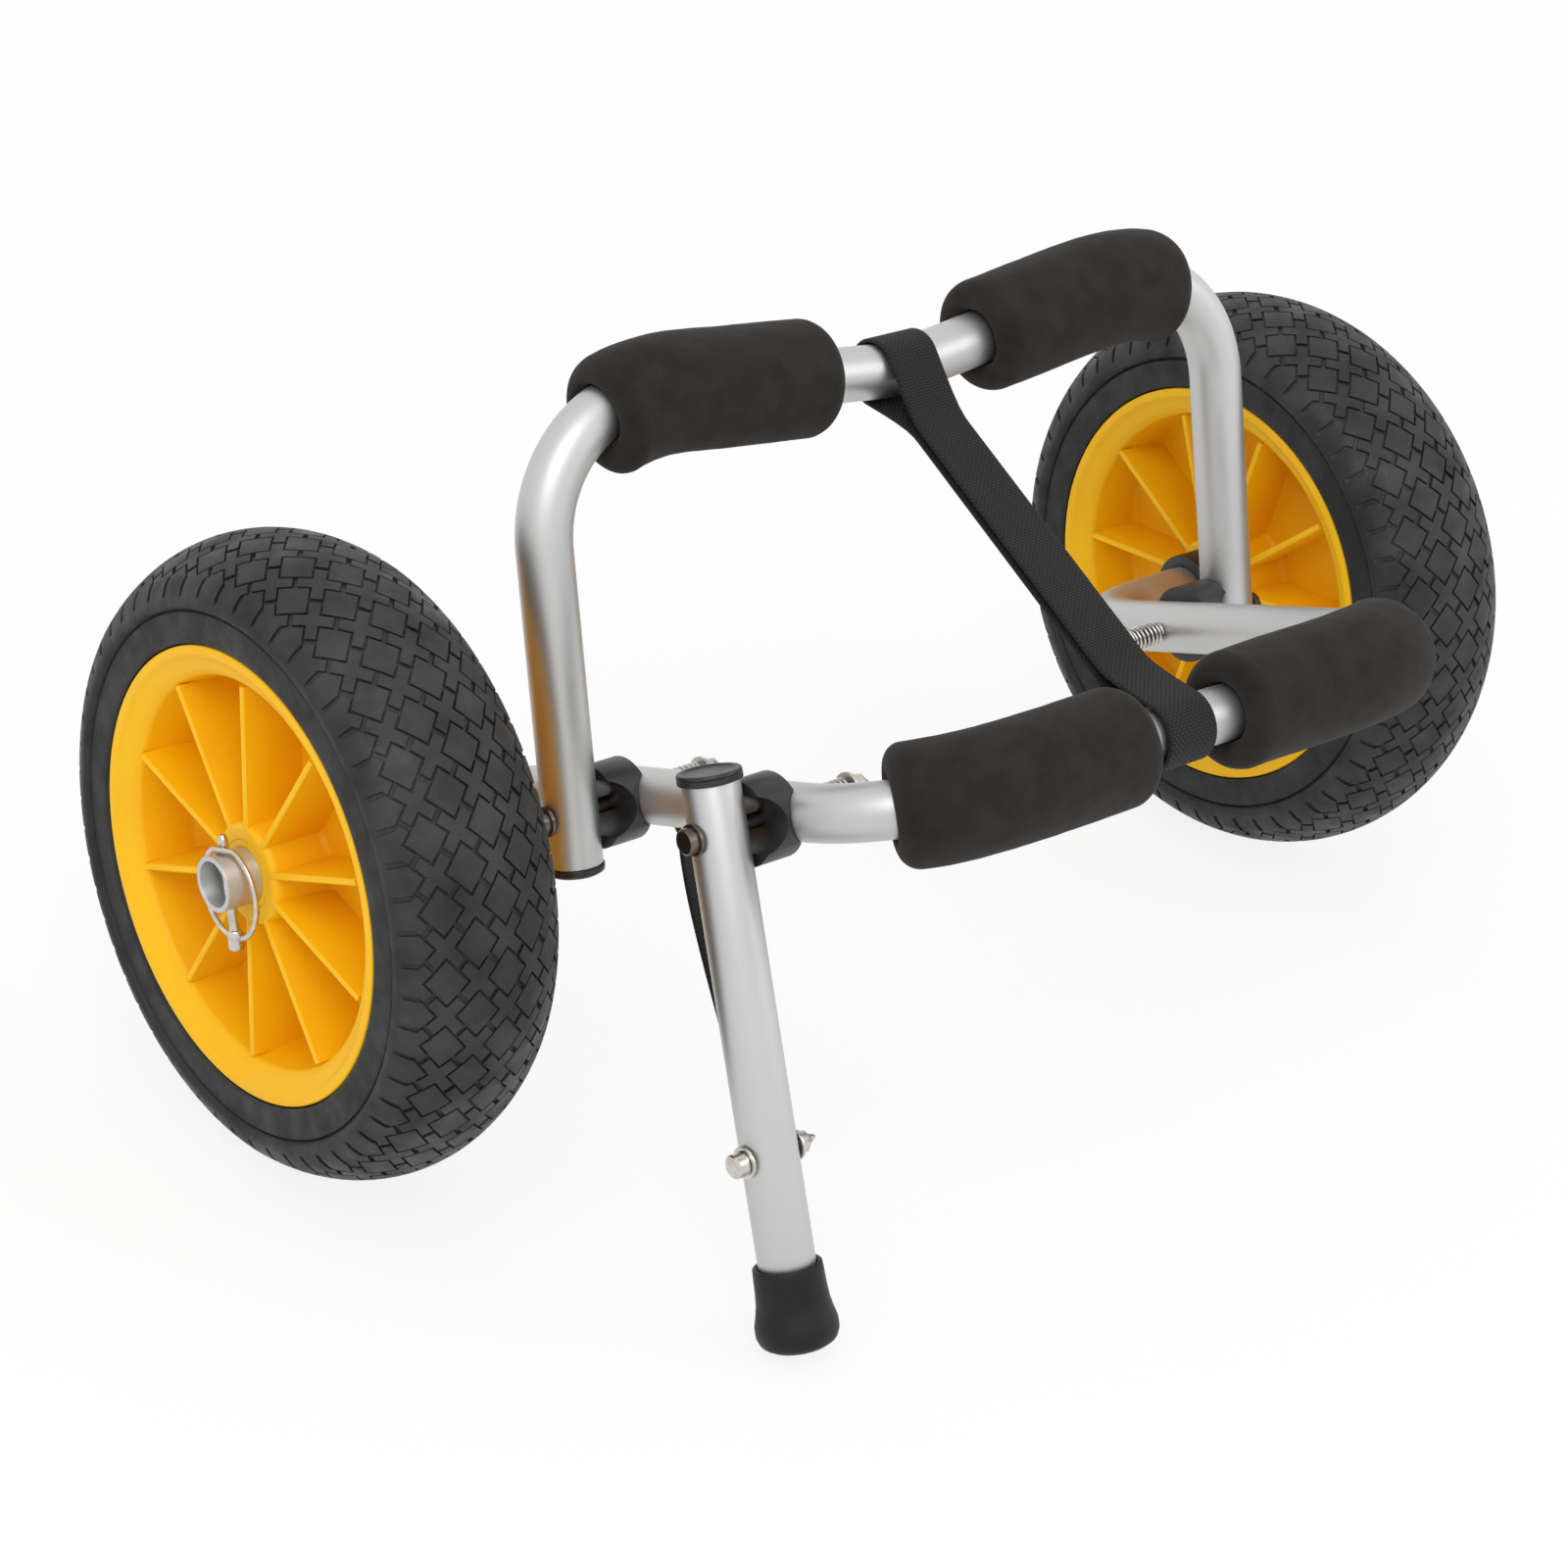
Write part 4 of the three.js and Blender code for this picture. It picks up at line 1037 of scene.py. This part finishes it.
# A plated pin stands up through each end of the axle and keeps its wheel on. Its head hangs below
# the tube and carries a sprung wire ring, which closes over the tube past the pin's tip. The pins
# are not upright: the tips lean back.
pin_x = axle_end_x - 0.007
pin_lean = radians(18)
pin_radius = 0.002
pin_rise = 0.018
pin_head = 0.0032
ring_radius = 0.018
ring_drop = 0.005
ring_wire = 0.0011
ring_steps = 96
ring_start = 0.001 / ring_radius
ring_clear = pin_radius + ring_wire + seat_gap
head_top = 0.0032 - (ring_radius + ring_drop)
head_low = head_top - 0.008
pin_up = Vector((0, sin(pin_lean), cos(pin_lean)))
pin_across = Vector((0, cos(pin_lean), -sin(pin_lean)))
pin_profile = [
    (head_low, 0), (head_low, 0.0024), (head_low + 0.001, pin_head), (head_top - 0.0006, pin_head),
    (head_top, 0.0028), (head_top + 0.0004, pin_radius), (pin_rise - 0.0020, pin_radius),
    (pin_rise, 0.0013), (pin_rise, 0),
]
pin_ease = [0, 0.001, 0.001, 0.0005, 0.0004, 0.0004, 0.0006, 0.0006, 0]

for name, side in both_sides:
    middle = on_low(side * pin_x, 0)
    turned_piece(
        f"pin_{name}", pin_profile, middle, pin_up, pin_ease,
        steel, "steel", "cart", f"lock_pin_{name}", sides=32,
    )
    loop = []
    for k in range(ring_steps + 1):
        angle = ring_start + (2 * pi - 2 * ring_start) * k / ring_steps
        across, rise = ring_radius * sin(angle), -ring_radius * cos(angle)
        near = max(0.0, 1 - (across / (2 * ring_clear)) ** 2) if rise > 0 else 0.0
        loop.append(
            middle + Vector((side * ring_clear * near ** 2, 0, 0))
            + pin_across * side * across + pin_up * (rise - ring_drop)
        )
    wire(f"ring_{name}", loop, ring_wire, f"ring_{name}", f"lock_ring_{name}", sides=14)

# Four sleeves of black closed-cell foam pad the bars where the hull lies. They are cut from
# thick tube with well rounded ends, pushed along the bar and on into its bends.
pad_radius = 0.0235
pad_length = 0.109
pad_end = 0.008
pad_bore = 0.0118
pad_start = {"upper": 0.042, "lower": 0.0244}
pad_sides = 72
low_pad_shift = 0.0054
bore_depth, bore_edge, bore_ease = 0.0032, 0.0022, 0.0004
end_steps, body_steps, bore_steps, end_face_steps = 14, 64, 60, 6
swells = ((0.00045, 38), (0.00012, 160))
swell_start = 0.002
foam_reach = 0.026
path_step = 0.0015

foam = grained(
    "black closed-cell foam", (0.020, 0.0165, 0.0140), 0.88,
    (90, 5, (0.0145, 0.0120, 0.0100), (0.0245, 0.0205, 0.0175)), None,
    [(2400, 2, 0.00010, 0.8), (420, 4, 0.00012, 0.5)],
    Sheen_Weight=0.06, Sheen_Roughness=0.5, Specular_IOR_Level=0.18,
)


def bent_path(corners, bends):
    """Points close together along a bent tube's middle line, and their distances along it."""
    path = [corners[0].copy()]
    for i in range(1, len(corners) - 1):
        before = (corners[i] - corners[i - 1]).normalized()
        after = (corners[i + 1] - corners[i]).normalized()
        turn = before.angle(after)
        swing = before.cross(after).normalized()
        start = corners[i] - before * bends[i - 1] * tan(turn / 2)
        middle = start + swing.cross(before) * bends[i - 1]
        count = max(2, int(turn * bends[i - 1] / path_step))
        for k in range(count + 1):
            path.append(middle + Matrix.Rotation(turn * k / count, 3, swing) @ (start - middle))
    path.append(corners[-1].copy())
    dense = [path[0]]
    for low, high in zip(path, path[1:]):
        count = max(1, int((high - low).length / path_step))
        dense += [low.lerp(high, (k + 1) / count) for k in range(count)]
    lengths = np.cumsum([0] + [(b - a).length for a, b in zip(dense, dense[1:])])
    return dense, lengths


def path_at(path, lengths, distance):
    """The point of a path at a distance along it."""
    low = int(np.clip(np.searchsorted(lengths, distance) - 1, 0, len(path) - 2))
    share = (distance - lengths[low]) / max(lengths[low + 1] - lengths[low], 1e-9)
    return path[low].lerp(path[low + 1], share)


def foam_lie(path, lengths, distance, near, far):
    """How the foam lies at a place: the tube's middle, its own middle, and the way that it faces.

    The foam is stiffer than its bore, so it bends less sharply than the tube, and its free ends stay
    a little straighter than the tube does there.
    """
    spots = [path_at(path, lengths, distance + foam_reach * k / 4) for k in range(-4, 5)]
    before = path_at(path, lengths, max(near, distance - foam_reach))
    after = path_at(path, lengths, min(far, distance + foam_reach))
    return spots[4], sum(spots, Vector()) / len(spots), (after - before).normalized()


def pad_section():
    """A pad's section: its near end face, its outside, its far end face, and back along its bore."""
    rim = pad_bore + bore_ease
    outline = []
    for k in reversed(range(end_steps + 1)):
        angle = (pi / 2) * k / end_steps
        outline.append((pad_end * (1 - sin(angle)), pad_radius - pad_end * (1 - cos(angle))))
    face = [(bore_depth, pad_bore), (bore_edge, rim)]
    for k in range(1, end_face_steps):
        share = k / end_face_steps
        face.append((bore_edge * (1 - share) ** 2, rim + (outline[0][1] - rim) * share))
    near = face + outline
    straight, hollow = pad_length - 2 * pad_end, pad_length - 2 * bore_depth
    return (
        near + [(pad_end + straight * k / body_steps, pad_radius) for k in range(1, body_steps)]
        + [(pad_length - along, radius) for along, radius in reversed(near)]
        + [(pad_length - bore_depth - hollow * k / bore_steps, pad_bore) for k in range(1, bore_steps)]
    )


pad_profile = pad_section()


def foam_sleeve(name, corners, bends, start, side, plane, body, node):
    """A pad on a bent tube, from a start on one side of the tube's middle outwards."""
    path, lengths = bent_path(corners, bends)
    points = []
    seed = Vector((3.1 * side, 7.7 if body == "upper" else 2.3, 0))
    ends = sorted(lengths[-1] / 2 + side * (start + along) for along in (0, pad_length))
    for along, radius in pad_profile:
        middle, eased, run = foam_lie(path, lengths, lengths[-1] / 2 + side * (start + along), *ends)
        share = min(1.0, max(0.0, (radius - pad_bore) / (pad_radius - pad_bore)))
        spot = middle.lerp(eased, share)
        across = plane.cross(run).normalized()
        for k in range(pad_sides):
            angle = 2 * pi * k / pad_sides
            out = across * cos(angle) + plane * sin(angle)
            swell = 0.0
            if radius > pad_bore + swell_start:
                for height, scale in swells:
                    swell += height * waves.noise((spot + out * radius) * scale + seed)
            points.append(spot + out * (radius + swell))
    piece = new_piece(name, points, skin(len(pad_profile), pad_sides, wrapped=True))
    outward(piece, 60)
    return place_piece(piece, foam, "foam", body, node)


for name, side in both_sides:
    foam_sleeve(
        f"foam_high_{name}", high_corners, high_bends, pad_start["upper"], side,
        x_way.cross(high_up), "upper", f"pad_upper_{name}",
    )
    foam_sleeve(
        f"foam_low_{name}", low_corners, low_bends, pad_start["lower"] - side * low_pad_shift, side,
        x_way.cross(forward), "cart", f"pad_lower_{name}",
    )

# The frame strap is 25 mm black polyester webbing. It is looped round the middle of both bars
# with its two plies together between them, and it stops the high frame from falling back.
strap_width = 0.025
strap_loop = 0.0133
strap_neck = 0.027
strap_middle_gap = 0.0011
strap_skew = 0.008
loop_steps, ply_steps = 20, 44
edge_steps, face_steps = 4, 10
weave_pitches = {"X": 0.0023, "Y": 0.0024}
crossing_share = 0.6

webbing, tree, shader, place = surface(
    "black woven webbing", (0.018, 0.018, 0.017), 0.75,
    {"Sheen Weight": 0.04, "Specular IOR Level": 0.25},
)
woven = add_node(tree, "ShaderNodeUVMap", uv_map="weave").outputs["UV"]
axes = add_node(tree, "ShaderNodeSeparateXYZ", {"Vector": woven})
ridges = [
    maths(tree, "SINE", maths(tree, "MULTIPLY", axes.outputs[label], 2 * pi / spacing))
    for label, spacing in weave_pitches.items()
]
crossing = maths(tree, "MULTIPLY", *ridges)
rib = maths(tree, "ABSOLUTE", ridges[1])
weave = maths(tree, "MULTIPLY_ADD", crossing, crossing_share, rib)
height = ranged(tree, weave, (-crossing_share, 1 + crossing_share), (0, 1))
# Painted shade and sheen: the weave's hollows are painted near black and its crests lighter, following the
# bump's height.
two_tones(tree, shader, height, (0.0008, 0.0008, 0.0008), (0.026, 0.026, 0.024))
fine = bumped(tree, shader, height, 0.0011, 1.0)
bumped(tree, shader, spotted(tree, place, 3000, 2), 0.00008, 0.5, fine)


def ribbon(name, centre, outs, across, width, closed):
    """Webbing along centre points, with the ways off its face and across it, and its weave's UV map."""
    edge_x, half_t = (width - strap_ply) / 2, strap_ply / 2
    section = [(edge_x, half_t)]
    section += [
        (edge_x - 2 * edge_x * k / face_steps, half_t) for k in range(1, face_steps)
    ]
    for k in range(edge_steps + 1):
        angle = pi / 2 + pi * k / edge_steps
        section.append((half_t * cos(angle) - edge_x, half_t * sin(angle)))
    section += [
        (2 * edge_x * k / face_steps - edge_x, -half_t) for k in range(1, face_steps)
    ]
    for k in range(edge_steps):
        angle = -pi / 2 + pi * k / edge_steps
        section.append((edge_x + half_t * cos(angle), half_t * sin(angle)))
    count, rows = len(section), len(centre)
    points = [
        spot + wide * a + out * t
        for spot, wide, out in zip(centre, across, outs) for a, t in section
    ]
    lengths = [0.0]
    for a, b in zip(centre, centre[1:] + centre[:1]):
        lengths.append(lengths[-1] + (b - a).length)
    marks = []
    for low, high in zip(lengths, lengths[1:] if closed else lengths[1:-1]):
        for (a, _), (b, _) in zip(section, section[1:] + section[:1]):
            marks += [(a, low), (b, low), (b, high), (a, high)]
    faces = skin(rows, count, wrapped=closed)
    if not closed:
        faces += [tuple(range(count)), tuple((rows - 1) * count + k for k in range(count))]
        marks += [(a, length + t) for length in (lengths[0], lengths[rows - 1]) for a, t in section]
    piece = new_piece(name, points, faces)
    layer = piece.data.uv_layers.new(name="weave")
    layer.data.foreach_set("uv", [value for mark in marks for value in mark])
    faces_out(piece)
    piece.data.shade_smooth()
    return piece


high_path, high_lengths = bent_path(high_corners, high_bends)
bar_high = path_at(high_path, high_lengths, high_lengths[-1] / 2)
bar_low = on_low(0, low_reach)
strap_run = bar_low - bar_high
strap_length = strap_run.length
run_way = strap_run.normalized()
strap_out = x_way.cross(run_way)


def strap_line():
    """The strap's closed middle line, as distances along its run and off its middle."""
    gap = strap_middle_gap + strap_ply / 2
    leave = atan2(gap, strap_neck) + acos(strap_loop / Vector((strap_neck, gap)).length)
    arc = []
    for k in range(loop_steps + 1):
        angle = leave + (pi - leave) * k / loop_steps
        arc.append((strap_loop * cos(angle), strap_loop * sin(angle)))
    loop = arc + [(s, -t) for s, t in reversed(arc[:-1])]
    between = strap_length - 2 * strap_neck
    ply = [(strap_neck + between * k / ply_steps, gap) for k in range(ply_steps + 1)]
    line = ply + [(strap_length - s, t) for s, t in loop]
    line += [(s, -t) for s, t in reversed(ply)] + [(s, -t) for s, t in loop]
    line = [Vector(point) for point in line]
    for _ in range(3):
        line = [
            (line[i - 1] + line[i] * 2 + line[(i + 1) % len(line)]) / 4 for i in range(len(line))
        ]
    return line


flat_line = strap_line()
centre, outs = [], []
for i, p in enumerate(flat_line):
    run = (flat_line[(i + 1) % len(flat_line)] - flat_line[i - 1]).normalized()
    outs.append(run_way * -run.y + strap_out * run.x)
    skewed = Vector((strap_skew * p.x / strap_length, 0, 0))
    centre.append(bar_high + run_way * p.x + strap_out * p.y - skewed)
strap = ribbon("frame_webbing", centre, outs, [x_way] * len(centre), strap_width, True)
place_piece(strap, webbing, "webbing", None, "frame_strap")
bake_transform(strap)

# A narrower strap keeps the stand from swinging too far forward. It is looped round the cross
# bolt inside the stand, comes out through the slot, turns a quarter round and ends in an eye on
# the left pivot bolt, flat against the leg.
stand_strap_width = 0.010
stand_strap_steps = 80
stand_loop_steps = 32
eased_share = 0.93
lean_power, twist_power = 1.1, 6
loop_gap = 0.0004
loop_radius = cross_radius + loop_gap + strap_ply / 2
strap_eye = on_low(-leg_x + tube_radius + seat_gap + strap_ply / 2, pivot_along)
strap_aside = strap_eye.x - cross_middle.x
strap_flat = strap_way.cross(x_way)

line, wides, out_ways = [], [], []
first_share = loop_radius / strap_rise.length
for k in range(stand_strap_steps + 1):
    share = first_share + (1 - first_share) * k / stand_strap_steps
    eased = min(1.0, share / eased_share)
    turn = pi / 2 * eased ** twist_power
    line.append(cross_middle + strap_rise * share + Vector((strap_aside * eased ** lean_power, 0, 0)))
    wides.append(Vector((cos(turn), 0, 0)) + strap_flat * sin(turn))
    out_ways.append(Vector((-sin(turn), 0, 0)) + strap_flat * cos(turn))
run_strap = ribbon("stand_webbing", line, out_ways, wides, stand_strap_width, False)

loop_line, loop_outs = [], []
for k in range(stand_loop_steps):
    angle = 2 * pi * k / stand_loop_steps
    out = strap_way * cos(angle) + strap_flat * sin(angle)
    loop_line.append(cross_middle + out * loop_radius)
    loop_outs.append(out)
loop_strap = ribbon(
    "stand_webbing_loop", loop_line, loop_outs, [x_way] * stand_loop_steps, stand_strap_width, True
)

eye_profile = ring_profile(
    -strap_ply / 2, strap_ply / 2, bolt_radius + bolt_gap, stand_strap_width / 2
)
eye = new_piece("stand_webbing_eye", *turned(rounded(eye_profile, 0.0005, 3), 64))
eye.data.transform(Matrix.Translation(strap_eye))
outward(eye)
eye_weave = eye.data.uv_layers.new(name="weave")
for corner in eye.data.loops:
    spot = eye.data.vertices[corner.vertex_index].co - strap_eye
    eye_weave.data[corner.index].uv = (spot.dot(strap_flat), spot.dot(strap_way))

place_piece(loop_strap, webbing, "webbing", "stand")
place_piece(eye, webbing, "webbing", "cart")
place_piece(run_strap, webbing, "webbing", None, "stand_strap")
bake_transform(run_strap)

# The studio: a pale floor, two soft boxes and a plain white world, with the camera where the
# photograph was taken. The camera sees the world and most of the floor as plain white.
floor_size = 12.0
floor_white = 0.86
world_light = 0.8

floor = new_piece(
    "floor",
    [(-floor_size, -floor_size, 0), (floor_size, -floor_size, 0), (floor_size, floor_size, 0),
     (-floor_size, floor_size, 0)],
    [(0, 1, 2, 3)],
)
floor_paint, tree, shader, place = surface(
    "pale floor", (0.92, 0.92, 0.92), 0.9, {"Specular IOR Level": 0.0}
)


def seen_as_white(tree):
    """1 for what the camera sees straight, mirrored or through glass, and 0 for the light it gives."""
    path = add_node(tree, "ShaderNodeLightPath")
    either = maths(tree, "MAXIMUM", path.outputs["Is Camera Ray"], path.outputs["Is Glossy Ray"])
    return maths(tree, "MAXIMUM", either, path.outputs["Is Transmission Ray"])


white = add_node(tree, "ShaderNodeEmission", {"Color": (1, 1, 1, 1), "Strength": 1.0})
floor_mix = add_node(
    tree, "ShaderNodeMixShader",
    {0: maths(tree, "MULTIPLY", seen_as_white(tree), floor_white), 1: shader.outputs["BSDF"],
     2: white.outputs["Emission"]},
)
tree.links.new(floor_mix.outputs[0], tree.nodes["Material Output"].inputs["Surface"])
floor.data.materials.append(floor_paint)

world = bpy.data.worlds.new("studio")
bpy.context.scene.world = world
world.use_nodes = True
sky = world.node_tree
background = sky.nodes["Background"]
background.inputs["Color"].default_value = (1, 1, 1, 1)
sky.links.new(
    ranged(sky, seen_as_white(sky), (0, 1), (world_light, 1.0)), background.inputs["Strength"]
)


def soft_box(name, place, target, size, power):
    lamp = bpy.data.lights.new(name, "AREA")
    lamp.shape, lamp.size, lamp.size_y, lamp.energy = "RECTANGLE", size, size, power
    holder = bpy.data.objects.new(name, lamp)
    bpy.context.scene.collection.objects.link(holder)
    holder.location = place
    holder.rotation_euler = (Vector(target) - Vector(place)).to_track_quat("-Z", "Y").to_euler()


soft_box("key", (-1.4, -1.2, 2.4), (0, 0, 0.15), 1.6, 26)
soft_box("fill", (1.8, -1.6, 1.6), (0, 0, 0.15), 1.4, 10)

camera_place = axle + Vector((-1.0512, -1.1003, 0.80876))
camera_yaw, camera_pitch, camera_roll = radians(42.192), radians(28.375), radians(6.58)
focal_pixels, middle_x, middle_y, picture = 4194.3, 741.8, 729.9, 1600
sensor_width = 36
look = Vector(
    (sin(camera_yaw) * cos(camera_pitch), cos(camera_yaw) * cos(camera_pitch), -sin(camera_pitch))
)
level_right = Vector((cos(camera_yaw), -sin(camera_yaw), 0))
level_up = level_right.cross(look)
right = level_right * cos(camera_roll) + level_up * sin(camera_roll)
up = level_up * cos(camera_roll) - level_right * sin(camera_roll)

lens = bpy.data.cameras.new("photograph")
lens.sensor_fit, lens.sensor_width = "HORIZONTAL", sensor_width
lens.lens = sensor_width * focal_pixels / picture
lens.shift_x = (picture / 2 - middle_x) / picture
lens.shift_y = (middle_y - picture / 2) / picture
lens.clip_start, lens.clip_end = 0.05, 60
camera = bpy.data.objects.new("photograph", lens)
bpy.context.scene.collection.objects.link(camera)
facing = Matrix((right, up, -look)).transposed().to_4x4()
camera.matrix_world = Matrix.Translation(camera_place) @ facing
bpy.context.scene.camera = camera

bpy.context.scene.view_settings.view_transform = "Standard"
